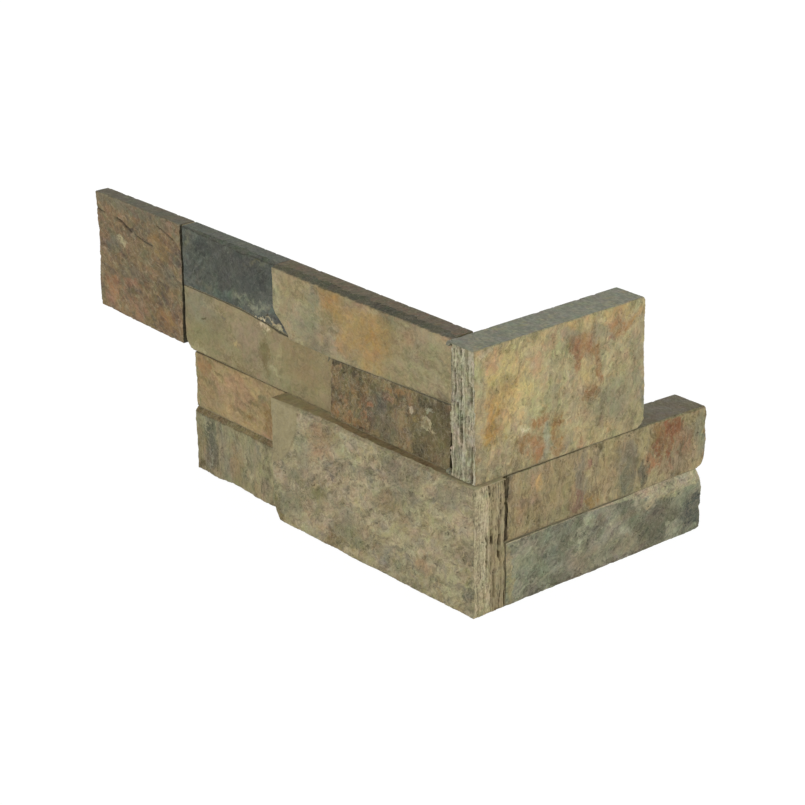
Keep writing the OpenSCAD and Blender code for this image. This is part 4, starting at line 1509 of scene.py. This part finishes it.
    def big(self) -> SplitStone:
        """Shape and dress the big granular stone with its laminated end."""
        j = self.joints
        finish = StoneFinish(
            ("#91896c", "#a09679", "#aea486", "#9b9376"),
            (
                Tint("#a18e6c", 8, 0.26, 0.5), Tint("#858172", 8, 0.26, 0.5), Tint("#928d64", 6, 0.24, 0.5),
                Tint("#b2a88b", 2.4, 0.2, 0.55, 35, 1.8), Tint("#6d6650", 2.4, 0.22, 0.5, 35, 1.8),
            ),
            (
                Patch(-103, 62, 11, 9, Tone.BUFF, 0.7), Patch(-92, 68, 9, 5, Tone.KHAKI, 0.6),
                Patch(-117, 45, 8, 13, Tone.STONE_GREY, 0.6), Patch(-104, 28, 8, 6, Tone.OLIVE, 0.85),
                Patch(-106, 20, 7, 2, Tone.OLIVE, 0.7), Patch(-82, 18, 10, 11, Tone.STONE_GREY, 0.7),
                Patch(-130, 15, 11, 9, Tone.STONE_GREY, 0.7), Patch(-128, 34, 6, 4, Tone.STONE_GREY, 0.6),
                Patch(-66, 48, 10, 1.6, Tone.BONE, 0.75, 35), Patch(-55, 47, 3, 5, Tone.PUTTY, 0.6),
                Patch(-45, 45, 13, 6, Tone.KHAKI, 0.75, 20), Patch(-30, 36, 9, 7, Tone.FAWN, 0.7),
                Patch(-29, 62, 13, 13, Tone.DUN, 0.65, 0, 0.4, 0.9), Patch(-43, 67, 6, 5, Tone.DUN, 0.6),
                Patch(-14, 60, 7, 8, Tone.PUTTY, 0.8), Patch(5, 63, 9, 8, Tone.STONE_GREY, 0.7),
                Patch(1, 42, 7, 5, Tone.STONE_GREY, 0.5), Patch(22.6, 30, 2.6, 4, Tone.LEAD, 0.8),
                Patch(20, 14, 4, 3.5, Tone.LEAD, 0.8), Patch(-17, 17, 5, 5, Tone.BUFF, 0.7),
                Patch(-36, 18, 14, 1.8, Tone.DUN, 0.75, 38), Patch(-46, 11, 10, 2.6, Tone.ASH, 0.6, 30),
                Patch(24.6, 48, 1.6, 26, Tone.PUTTY, 0.7), Patch(-90, 6, 9, 5, Tone.MOSS_BROWN, 0.7),
                Patch(-142, 5, 5, 8, Tone.MOSS_BROWN, 0.8), Patch(-46, 24, 12, 3, Tone.SAND, 0.6, 30),
            ),
            plates=(Patch(-150, 76, 28, 41, Tone.SAND, 0.85, 0, 0.02, 0.2),),
            top=("#746447", "#857555", "#968562"), arris="#948a6d",
            top_tints=(Tint("#5c5139", 4, 0.22, 0.5), Tint("#8a8064", 2.5, 0.2, 0.45)),
            top_patches=(Patch(18, 74.6, 20, 1.8, Tone.PUTTY, 0.85,
            broken=0.1), Patch(-122, 74.6, 26, 1.8, Tone.SAND, 0.85, broken=0.2)),
            end_patches=(Patch(3, 37, 9, 60, Tone.KHAKI, 0.6, edge=0.3), Patch(19, 45, 6, 38, Tone.BONE, 0.5,
            edge=0.35)),
            end=("#8d8162", "#b0a482", "#c8bc9a", "#a69a78"), lines=0.2, bump=0.5, pits=0.45, turn=33,
            stretch=1.7, blotch=13,
        )
        relief = Relief(
            grain=0.2, grain_size=2.8, plates=0.22, swell=0.45, turn=33, stretch=1.5,
            flakes=(Flake(-150, 76, 28, 41, -0.35, 0, 0.012, 0.0),),
        )
        end = LeafEnd(
            by_depth=((0, 0.4), (10, 0.2), (13, 0), (23, 0)),
            by_height=((0, 0), (60, 0), (70, 0.2), (75, 0.6)),
            slits=(
                Slit(11, 67, 76, 0.8, 3), Slit(13, 27, 45, 1.0, 4), Slit(10, 40, 48, 0.8, 3),
                Slit(8, 8, 24, 0.7, 2.5), Slit(4, 30, 52, 0.9, 4),
            ),
            leaf=3.2, step=0.65,
        )
        x = j.big_left
        return SplitStone(
            "big_corner_stone", Leg.LONG, 18, "big_stone_slate", self.big_thick, finish, relief,
            {Side.RIGHT: Cut.LAMINATED}, end,
            bottom=line((x + 4.4, 0), (self.big_right, 0)),
            left=path((x + 4.4, 0), (x + 2.4, 4), (x + 0.3, 8), (x, 14), (x, j.lower_top)),
            top=line((x, j.lower_top), (self.big_right, j.lower_top)),
            bevel=(
                (-146, 0.6, 0.4), (-134, 1.2, 1.4), (-112, 1.9, 2.6), (-85, 1.9, 2.2), (-60, 1.4, 1.6),
                (-20, 1.8, 2.4), (4, 1.2, 1.4), (16, 0.5, 0.4),
            ),
            wear={Side.TOP: 0.25, Side.BOTTOM: 0.3, Side.RIGHT: 0.4, Side.LEFT: 0.2}, ring_pitch=0.5,
        )


@dataclass
class ShortLeg:
    """The short leg: the stone that runs through the corner over two strips."""

    joints: Joints = field(default_factory=Joints)
    corner_thick: Corners = Corners(22.6, 23.4, 21.2, 21.0)
    rust_thick: Corners = Corners(23.8, 23.8, 23.6, 23.8)
    grey_thick: Corners = Corners(25.3, 25.3, 25.0, 25.3)
    corner_left: float = -19.6

    def build(self) -> None:
        """Build the three stones."""
        for stone in (self.corner(), self.rust(), self.grey()):
            stone.build()

    def corner(self) -> SplitStone:
        """Shape and dress the yellow tan corner stone with its laminated end."""
        j = self.joints
        finish = StoneFinish(
            ("#948968", "#a09470", "#ad9f7a", "#998e6d"),
            (
                Tint("#b1926a", 7, 0.2, 0.45), Tint("#8f8c6c", 8, 0.28, 0.5),
                Tint("#c2b58e", 2.4, 0.18, 0.5, 65, 1.8), Tint("#7c7253", 2.4, 0.2, 0.45, 65, 1.8),
            ),
            (
                Patch(2, 122, 19, 22, Tone.STRAW, 0.6), Patch(-14.5, 112, 3, 36, Tone.PUTTY, 0.7),
                Patch(-10, 147.6, 8, 1.6, Tone.BONE, 0.7), Patch(-5, 140, 6, 5, Tone.PEACH, 0.8),
                Patch(-7, 112, 6, 9, Tone.OCHRE, 0.85), Patch(-8, 100, 6.5, 5, Tone.OCHRE, 0.85),
                Patch(0, 124, 11, 5, Tone.AMBER, 0.6), Patch(9, 122, 4.5, 4, Tone.STRAW, 0.85),
                Patch(-4, 84, 12, 7, Tone.PUTTY, 0.6), Patch(28, 128, 3, 13, Tone.BUFF, 0.6, 0, 0.4, 0.9),
                Patch(36, 143, 2.6, 5, Tone.BUFF, 0.6), Patch(49, 141, 7, 5, Tone.STONE_GREY, 0.75),
                Patch(54, 146, 7, 3, Tone.AMBER, 0.4), Patch(67, 146, 5, 3, Tone.AMBER, 0.4),
                Patch(58, 134, 9, 6, Tone.TOBACCO, 0.75, -15), Patch(53, 127, 2.4, 8, Tone.RUST, 0.75),
                Patch(65, 132, 4, 8, Tone.TOBACCO, 0.7), Patch(60, 117, 5, 9, Tone.HONEY, 0.75),
                Patch(68.5, 118, 2.6, 11, Tone.TOBACCO, 0.8),
                Patch(61, 103, 4, 4, Tone.UMBER, 0.85, 0, 0.4, 0.9), Patch(87, 139, 9, 5, Tone.TOBACCO, 0.8),
                Patch(98, 141, 6, 3, Tone.OCHRE, 0.7), Patch(80, 133, 3.5, 2, Tone.CLAY, 0.7),
                Patch(85, 147, 10, 2.6, Tone.AMBER, 0.6), Patch(73, 137, 5, 4, Tone.STONE_GREY, 0.7),
                Patch(100, 124, 5, 20, Tone.STONE_GREY, 0.6), Patch(88, 97, 18, 15, Tone.STONE_GREY, 0.65),
                Patch(102, 92, 3, 9, Tone.SAGE, 0.8), Patch(76, 90, 12, 9, Tone.STONE_GREY, 0.5),
                Patch(34, 111, 8, 6, Tone.STONE_GREY, 0.5), Patch(95, 82, 8, 5, Tone.SAND, 0.6),
                Patch(27, 99, 7, 3, Tone.TOBACCO, 0.85), Patch(17, 91, 7, 3, Tone.UMBER, 0.85, 20),
                Patch(24, 85, 5.5, 8, Tone.TOBACCO, 0.85, 0, 0.4, 0.4),
                Patch(42, 96, 3, 6, Tone.TOBACCO, 0.85), Patch(39, 88, 2.6, 6, Tone.TOBACCO, 0.85),
                Patch(41.5, 79, 3, 4, Tone.TOBACCO, 0.75), Patch(31.5, 92, 4, 4.5, Tone.ASH, 0.8),
                Patch(31, 84, 4, 7, Tone.ASH, 0.75), Patch(16, 98, 3, 1.8, Tone.BONE, 0.8),
                Patch(46, 84, 4, 4, Tone.STONE_GREY, 0.6), Patch(5, 81, 3, 3, Tone.KHAKI, 0.5),
            ),
            top=("#777868", "#818271", "#8c8c79"),
            top_tints=(Tint("#6c6e60", 2.4, 0.12, 0.35), Tint("#97926f", 8, 0.2, 0.5)),
            arris="#9c9373", end=("#8e896d", "#aea78c", "#c6c0a5", "#a49d84"), lines=0.17, bump=0.45,
            turn=74, stretch=1.8, saw=0.2, hue=1.2,
        )
        end = LeafEnd(
            by_depth=((0, 3.0), (2.4, 2.8), (3.6, 0.6), (8, 0.2), (18, 0), (20, 0.5), (24, 0.1)),
            slits=(
                Slit(7, 122, 136, 0.8, 3), Slit(19, 120, 129, 1.0, 3), Slit(19.2, 74, 84, 1.0, 4),
                Slit(0.8, 90, 99, 4.6, 7), Slit(0.8, 75, 84, 4.6, 7), Slit(12, 96, 112, 0.7, 2.5),
                Slit(19.6, 84, 96, 0.8, 2), Slit(9.5, 104, 118, 0.6, 2), Slit(0.6, 112, 160, 3.0, 1.6),
            ),
            leaf=2.9, step=0.6,
        )
        left = self.corner_left
        return SplitStone(
            "upper_corner_stone", Leg.SHORT, 19, "corner_slate", self.corner_thick, finish,
            Relief(grain=0.18, turn=68, stretch=1.4), {Side.LEFT: Cut.LAMINATED, Side.RIGHT: Cut.BROKEN}, end,
            bottom=line((left, j.upper_foot), (100.0, j.upper_foot)),
            left=line((left, j.upper_foot), (left, j.corner_top)),
            right=path(
                (100.0, j.upper_foot), (102.9, 76.8), (104.4, 79.6), (104.7, 84), (104.7, 100), (104.4, 114),
                (104.7, 130), (104.8, 148.2), (104.2, j.corner_top),
            ),
            top=line((left, j.corner_top), (104.2, j.corner_top)),
            bevel=((-20, 0.5, 0.4), (100, 0.5, 0.5)),
            wear={Side.TOP: 0.15, Side.RIGHT: 0.3, Side.BOTTOM: 0.15},
            ring_pitch=0.5,
        )

    def rust(self) -> SplitStone:
        """Shape and dress the brown strip with its rust streaks."""
        j = self.joints
        foot = j.rust_foot + j.half
        finish = StoneFinish(
            ("#7c6f53", "#8a7d5e", "#988b69", "#857a5c"),
            (
                Tint("#8f7556", 7, 0.22, 0.4, 86, 2.2), Tint("#75705c", 7, 0.24, 0.5, 86, 2.5),
                Tint("#ab9c7c", 2.6, 0.2, 0.5, 80, 2.0), Tint("#625740", 2.4, 0.2, 0.45, 80, 2.0),
            ),
            (
                Patch(30, 58, 20, 16, Tone.KHAKI, 0.6), Patch(40, 42, 10, 4, Tone.OLIVE, 0.7),
                Patch(22, 67, 3.4, 3, Tone.BUFF, 0.8), Patch(24, 64.6, 2.4, 2.4, Tone.AMBER, 0.7),
                Patch(17, 57, 7, 4, Tone.FAWN, 0.6), Patch(60, 67, 3.4, 9, Tone.DUN, 0.8),
                Patch(59, 51, 4, 11, Tone.DUN, 0.8), Patch(53, 44, 8, 6, Tone.LIVER, 0.8, 0, 0.4, 0.7),
                Patch(67, 42, 4, 5, Tone.UMBER, 0.85, 0, 0.4, 0.8),
                Patch(91, 50, 8, 15, Tone.LEAD, 0.85, 0, 0.45, 0.4), Patch(93, 63, 6, 7, Tone.DUN, 0.8),
                Patch(104, 47, 3, 7, Tone.LEAD, 0.8), Patch(111, 50, 4, 5, Tone.RUST, 0.8),
                Patch(123, 65, 10, 10, Tone.UMBER, 0.7), Patch(122, 68, 2, 9, Tone.IRON_RED, 0.8),
                Patch(130, 66, 3, 8, Tone.IRON_RED, 0.75), Patch(116, 68, 2, 9, Tone.UMBER, 0.8),
                Patch(137, 57, 7, 8, Tone.CLAY, 0.65), Patch(132, 44, 10, 6, Tone.FAWN, 0.7),
                Patch(118, 58, 1.8, 12, Tone.IRON_RED, 0.8), Patch(126, 58, 1.8, 13, Tone.IRON_RED, 0.8),
                Patch(150, 58, 3.6, 16, Tone.STONE_GREY, 0.85, 0, 0.4, 0.3),
                Patch(153.4, 54, 1.6, 10, Tone.SAGE, 0.85, 0, 0.4, 0.2),
                Patch(65, 62, 1.8, 2.4, Tone.LIVER, 0.85), Patch(73, 72, 1.6, 1.6, Tone.DEEP_OLIVE, 0.8),
                Patch(79, 60, 8, 12, Tone.KHAKI, 0.5), Patch(106, 66, 3, 9, Tone.SAND, 0.6),
            ),
            top=("#5c5642", "#67604a", "#6f6852"), arris="#7a7357", turn=87, stretch=2.6,
            end=("#5f5742", "#796e53", "#918464", "#7a6f57"), pits=0.5, lines=0.16, hue=0.85, saw=0.1,
            contrast=1.2,
        )
        return SplitStone(
            "rust_strip", Leg.SHORT, 20, "rust_slate", self.rust_thick, finish,
            Relief(turn=90, stretch=2.0), {Side.RIGHT: Cut.BROKEN, Side.LEFT: Cut.LAMINATED},
            LeafEnd(slits=(Slit(25.5, 30, 90, 5.0, 1.9),), step=0.15),
            bottom=line((j.glue, foot), (148.2, foot)),
            right=path(
                (148.2, foot), (152.2, 38.9), (154.0, 43.5), (154.6, 53), (153.8, 64), (154.7, 68),
                (153.2, 73.6),
            ),
            top=path((2.2, j.lower_top), (104, j.lower_top), (120, 74.6), (133, 74.2), (153.2, 73.6)),
            left=line((j.glue, foot), (2.2, j.lower_top)),
            bevel=((0, 0.3, 0.2), (104, 0.4, 0.3), (130, 0.9, 0.8), (154, 1.2, 1.0)),
            wear={Side.RIGHT: 0.4, Side.TOP: 0.15, Side.BOTTOM: 0.15},
        )

    def grey(self) -> SplitStone:
        """Shape and dress the grey green strip with its pale chipped band."""
        j = self.joints
        top = j.rust_foot - j.half
        finish = StoneFinish(
            ("#747464", "#82826e", "#908f7c", "#7c7b6a"),
            (
                Tint("#737761", 7, 0.28, 0.5), Tint("#7b736a", 6, 0.22, 0.5),
                Tint("#a5a08a", 2.5, 0.18, 0.5, 30, 1.8), Tint("#525247", 2.5, 0.18, 0.5, 30, 1.8),
            ),
            (
                Patch(1.6, 18, 3.0, 22, Tone.SAND, 0.75, 0, 0.4, 0.2),
                Patch(112, 14, 30, 13, Tone.LEAD, 0.6), Patch(28, 22, 20, 14, Tone.SAGE, 0.5),
                Patch(41, 20, 6, 9, Tone.LEAD, 0.75), Patch(40, 4, 9, 5, Tone.LEAD, 0.7),
                Patch(46, 32, 8, 5, Tone.SAGE, 0.7), Patch(57, 26, 1.8, 7, Tone.ASH, 0.9, -35, 0.4, 0.3),
                Patch(61, 34, 3, 4, Tone.ASH, 0.7), Patch(68, 27, 5, 5, Tone.DUN, 0.85),
                Patch(88, 32, 10, 3, Tone.LEAD, 0.85, -15), Patch(97, 20, 4, 6, Tone.LEAD, 0.75),
                Patch(92, 27, 7, 3, Tone.DUN, 0.8), Patch(95, 8, 9, 6, Tone.STONE_GREY, 0.7),
                Patch(85, 17, 9, 4, Tone.ASH, 0.7), Patch(60, 10, 11, 8, Tone.STONE_GREY, 0.6),
                Patch(118, 29, 18, 3, Tone.PUTTY, 0.8, -4), Patch(121, 11, 10, 11, Tone.LEAD, 0.85),
                Patch(143, 14, 9, 9, Tone.GRAPHITE, 0.9), Patch(149, 8, 2.6, 8, Tone.GRAPHITE, 0.85),
                Patch(128, 6, 4, 5, Tone.ASH, 0.8), Patch(119, 21, 8, 3, Tone.DUN, 0.6),
                Patch(143, 27, 6, 2.6, Tone.SAGE, 0.6), Patch(70, 0.9, 75, 1.0, Tone.PEAT, 0.6),
                Patch(16, 29, 3, 3, Tone.ASH, 0.6),
            ),
            arris="#a39b7e", top=("#8f8a72", "#77725d"), turn=28, stretch=1.6, lines=0.17, pits=0.5,
            end=("#54523f", "#69664f", "#807c64"), contrast=1.2,
        )
        return SplitStone(
            "grey_strip", Leg.SHORT, 21, "grey_slate", self.grey_thick, finish,
            Relief(grain=0.2, turn=28, stretch=1.6), {Side.RIGHT: Cut.BROKEN},
            bottom=line((j.glue, 0.0), (147, 0.2)),
            right=path((147, 0.2), (149.8, 1.2), (150.35, 4.5), (150.35, 22), (149.9, 30), (148.0, top)),
            top=line((j.glue, top), (148.0, top)),
            left=line((j.glue, 0.0), (j.glue, top)),
            bevel=((0, 0.4, 0.2), (76, 0.6, 0.4), (95, 3.2, 1.0), (118, 7.0, 1.8), (151, 8.4, 2.2)),
            wear={Side.LEFT: 0.05, Side.RIGHT: 0.4, Side.BOTTOM: 0.3, Side.TOP: 0.15},
        )


@dataclass(frozen=True)
class Dust:
    """A strip of stone dust and adhesive that closes one joint just behind the faces."""

    name: str
    leg: Leg
    run: Curve
    fronts: tuple[float, float]
    half: float = 0.24
    deep: float = 1.0

    def build(self, look: bpy.types.Material) -> None:
        """Lay the strip along its joint.

        Args:
            look: The strip's material.
        """
        t = np.linspace(0, 1, 90)
        middle = self.run(t)
        way = np.gradient(middle, axis=0)
        side = np.stack([-way[:, 1], way[:, 0]], axis=1) / np.hypot(*way.T)[:, None]
        front = self.fronts[0] + (self.fronts[1] - self.fronts[0]) * t + 0.08 * fractal(t * 30, t * 0, 5, 3)
        rows = []
        for off, out in ((-1, front - self.deep), (-1, front), (1, front), (1, front - self.deep)):
            rows.append(np.column_stack([middle + off * self.half * side, out]))
        points = np.stack(rows, axis=1).reshape(-1, 3)
        faces = [[4 * k + a, 4 * k + b, 4 * k + 4 + b, 4 * k + 4 + a]
                 for k in range(len(t) - 1) for a, b in ((0, 1), (1, 2), (2, 3), (3, 0))]
        faces += [[3, 2, 1, 0], [len(points) - 4 + k for k in range(4)]]
        mesh = bpy.data.meshes.new(self.name)
        mesh.from_pydata(self.leg.to_frame(points).tolist(), [], faces)
        mesh.materials.append(look)
        piece = bpy.data.objects.new(self.name, mesh)
        bpy.context.scene.collection.objects.link(piece)
        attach(piece, "root")
        LOG.info("%s: %d points", self.name, len(points))


@dataclass
class ClosedJoints:
    """The joints that look closed: each one is filled almost to the faces."""

    joints: Joints = field(default_factory=Joints)

    def strips(self) -> tuple[Dust, ...]:
        """List the strips, each along the middle of its joint."""
        j = self.joints
        bed = j.upper_foot - j.half
        side = j.big_left - j.half
        return (
            Dust("dust_slate_bed", Leg.LONG, j.bed(-242, -139, 0), (10.3, 10.6)),
            Dust("dust_tan_bed", Leg.LONG, j.bed(-138, -101.4, 0), (11.5, 11.8)),
            Dust("dust_brown_top", Leg.LONG, j.bed(-100.6, -1, 0), (14.3, 14.5)),
            Dust("dust_brown_side", Leg.LONG, line((j.brown_left, 75.6), (j.brown_left, 109)), (12.1, 11.9)),
            Dust("dust_olive_bed", Leg.LONG, line((-236, bed), (-146.2, bed)), (10.9, 11.6)),
            Dust("dust_big_left", Leg.LONG, line((-145.4, bed), (-101.4, bed)), (11.7, 12.0)),
            Dust("dust_big_right", Leg.LONG, line((-100.6, bed), (-1, bed)), (15.3, 15.9)),
            Dust("dust_strips", Leg.LONG, line((-231, j.strip_top), (-146.3, j.strip_top)), (12.0, 12.0)),
            Dust("dust_orange_side", Leg.LONG, line((side, 41), (side, 74.5)), (12.0, 12.0)),
            Dust("dust_green_side", Leg.LONG, line((side, 0.6), (side, 40)), (13.2, 13.2)),
            Dust("dust_corner_foot", Leg.SHORT, line((-18.5, bed), (100, bed)), (22.4, 23.1)),
            Dust("dust_rust_foot", Leg.SHORT, line((0.8, j.rust_foot), (147, j.rust_foot)), (23.65, 23.6)),
            Dust("dust_grey_side", Leg.SHORT, line((j.half, 0.6), (j.half, 36.8)), (24.9, 24.9)),
            Dust("dust_far_top", Leg.LONG, line((-243.6, 147.1), (-243.6, 149.7)), (9.4, 9.4), 1.05, 9.0),
        )

    def build(self) -> None:
        """Lay all the strips in one pale gritty finish."""
        board = Look("joint_dust")
        point = board.stone_point(Leg.LONG)
        grit = board.noise(point, 1.0, 4, 0.7)
        color = board.colors(grit, ("#6d6449", "#8b8165", "#9d9275"), 0.32, 0.68)
        board.finish(color, 0.9, grit, 0.3)
        for strip in self.strips():
            strip.build(board.material)


@dataclass
class Adhesive:
    """The adhesive in the joints, kept at its nodes' shape with a finish of its own."""

    nodes: tuple[str, ...] = ("bed_adhesive", "end_adhesive")

    def dress(self) -> None:
        """Give the adhesive nodes their gritty dark finish."""
        board = Look("adhesive_grit")
        point = board.stone_point(Leg.LONG)
        grit = board.noise(point, 1.1, 3, 0.65)
        color = board.colors(grit, ("#3b3629", "#6b614c"), 0.3, 0.7)
        board.finish(color, board.step(grit, 0.3, 0.7, 0.8, 0.95), grit, 0.3)
        for name in self.nodes:
            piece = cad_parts[name]
            piece.data.materials.clear()
            piece.data.materials.append(board.material)
            LOG.info("%s: dressed", name)


@dataclass
class Studio:
    """Floor, light and camera, as in a plain product shot."""

    azimuth: float = 49.7
    elevation: float = 22.27
    roll: float = -0.47
    lens: float = 115.35
    aim: tuple[float, float, float] = (-0.04018, -0.0148, 0.10178)
    distance: float = 1.37588
    sensor: float = 36.0
    clip_end: float = 20.0
    ambient: float = 0.32
    floor_half: float = 6.0
    floor_tone: float = 0.85
    floor_glow: float = 1.07
    floor_white: float = 0.9
    lamp_size: float = 0.7
    lamp_aim: tuple[float, float, float] = (-0.05, 0.0, 0.075)

    def build(self) -> None:
        """Set up everything around the object."""
        self.camera()
        self.floor()
        self.world()
        self.lamps()
        bpy.context.scene.view_settings.view_transform = "Standard"

    def camera(self) -> None:
        """Place the camera at the photograph's angle and distance."""
        a, e, r = (math.radians(x) for x in (self.azimuth, self.elevation, self.roll))
        right = Vector((math.cos(a), math.sin(a), 0))
        look = Vector((-math.sin(a) * math.cos(e), math.cos(a) * math.cos(e), -math.sin(e)))
        up = right.cross(look)
        turned_right = right * math.cos(r) + up * math.sin(r)
        turned_up = up * math.cos(r) - right * math.sin(r)
        lens = bpy.data.cameras.new("camera")
        lens.lens, lens.sensor_width = self.lens, self.sensor
        lens.clip_end = self.clip_end
        eye = bpy.data.objects.new("camera", lens)
        turn = Matrix((turned_right, turned_up, -look)).transposed()
        eye.matrix_world = Matrix.Translation(Vector(self.aim) - look * self.distance) @ turn.to_4x4()
        bpy.context.scene.collection.objects.link(eye)
        bpy.context.scene.camera = eye

    def floor(self) -> None:
        """Lay the plain pale floor, white to the camera but for a faint shadow."""
        mesh = bpy.data.meshes.new("floor")
        half = self.floor_half
        corners = [(-half, -half, 0), (half, -half, 0), (half, half, 0), (-half, half, 0)]
        mesh.from_pydata(corners, [], [(0, 1, 2, 3)])
        plane = bpy.data.objects.new("floor", mesh)
        bpy.context.scene.collection.objects.link(plane)
        look = Look("floor_white")
        matt = look.node("ShaderNodeBsdfDiffuse", {"Color": (*(self.floor_tone,) * 3, 1)})
        glow = look.node("ShaderNodeEmission", {"Color": (1, 1, 1, 1), "Strength": self.floor_glow})
        share = look.math("MULTIPLY", self.seen(look), self.floor_white)
        both = look.node("ShaderNodeMixShader", {0: share, 1: matt.outputs[0], 2: glow.outputs[0]})
        look.node("ShaderNodeOutputMaterial", {"Surface": both.outputs[0]})
        mesh.materials.append(look.material)

    def seen(self, board: Board) -> Socket:
        """Give 1 for the rays that meet plain white: the camera's, and those off or through a surface."""
        ray = board.node("ShaderNodeLightPath").outputs
        both = board.math("MAXIMUM", ray["Is Camera Ray"], ray["Is Glossy Ray"])
        return board.math("MAXIMUM", both, ray["Is Transmission Ray"])

    def world(self) -> None:
        """Make a white surround that lights the object softly."""
        world = bpy.data.worlds.new("studio")
        world.use_nodes = True
        bpy.context.scene.world = world
        board = Board(world.node_tree)
        soft, white = (
            board.node("ShaderNodeBackground", {"Color": (1, 1, 1, 1), "Strength": strength}).outputs[0]
            for strength in (self.ambient, 1.0)
        )
        both = board.node("ShaderNodeMixShader", {0: self.seen(board), 1: soft, 2: white}).outputs[0]
        board.node("ShaderNodeOutputWorld", {"Surface": both})

    def lamp(self, name: str, place: tuple[float, float, float], watts: float) -> None:
        """Hang one soft square lamp, facing the object.

        Args:
            name: Name of the lamp.
            place: Where it hangs.
            watts: Its power.
        """
        light = bpy.data.lights.new(name, "AREA")
        light.size, light.energy = self.lamp_size, watts
        piece = bpy.data.objects.new(name, light)
        piece.location = place
        piece.rotation_euler = (Vector(self.lamp_aim) - Vector(place)).to_track_quat("-Z", "Y").to_euler()
        bpy.context.scene.collection.objects.link(piece)

    def lamps(self) -> None:
        """Hang the lamps: one before each leg, and a low one behind that lights the sawn backs."""
        self.lamp("lamp_long_leg", (-1.1, -1.8, 0.85), 25)
        self.lamp("lamp_short_leg", (1.85, 0.75, 0.8), 24)
        self.lamp("lamp_back", (-1.3, 1.7, 0.4), 16)


def main() -> None:
    """Build the panel and its studio."""
    logging.basicConfig(level=logging.INFO, format="%(name)s %(message)s")
    Studio().build()
    for part in (UpperLongLeg(), LowerLongLeg(), ShortLeg()):
        part.build()
    ClosedJoints().build()
    Adhesive().dress()


if __name__ == "__main__":
    main()
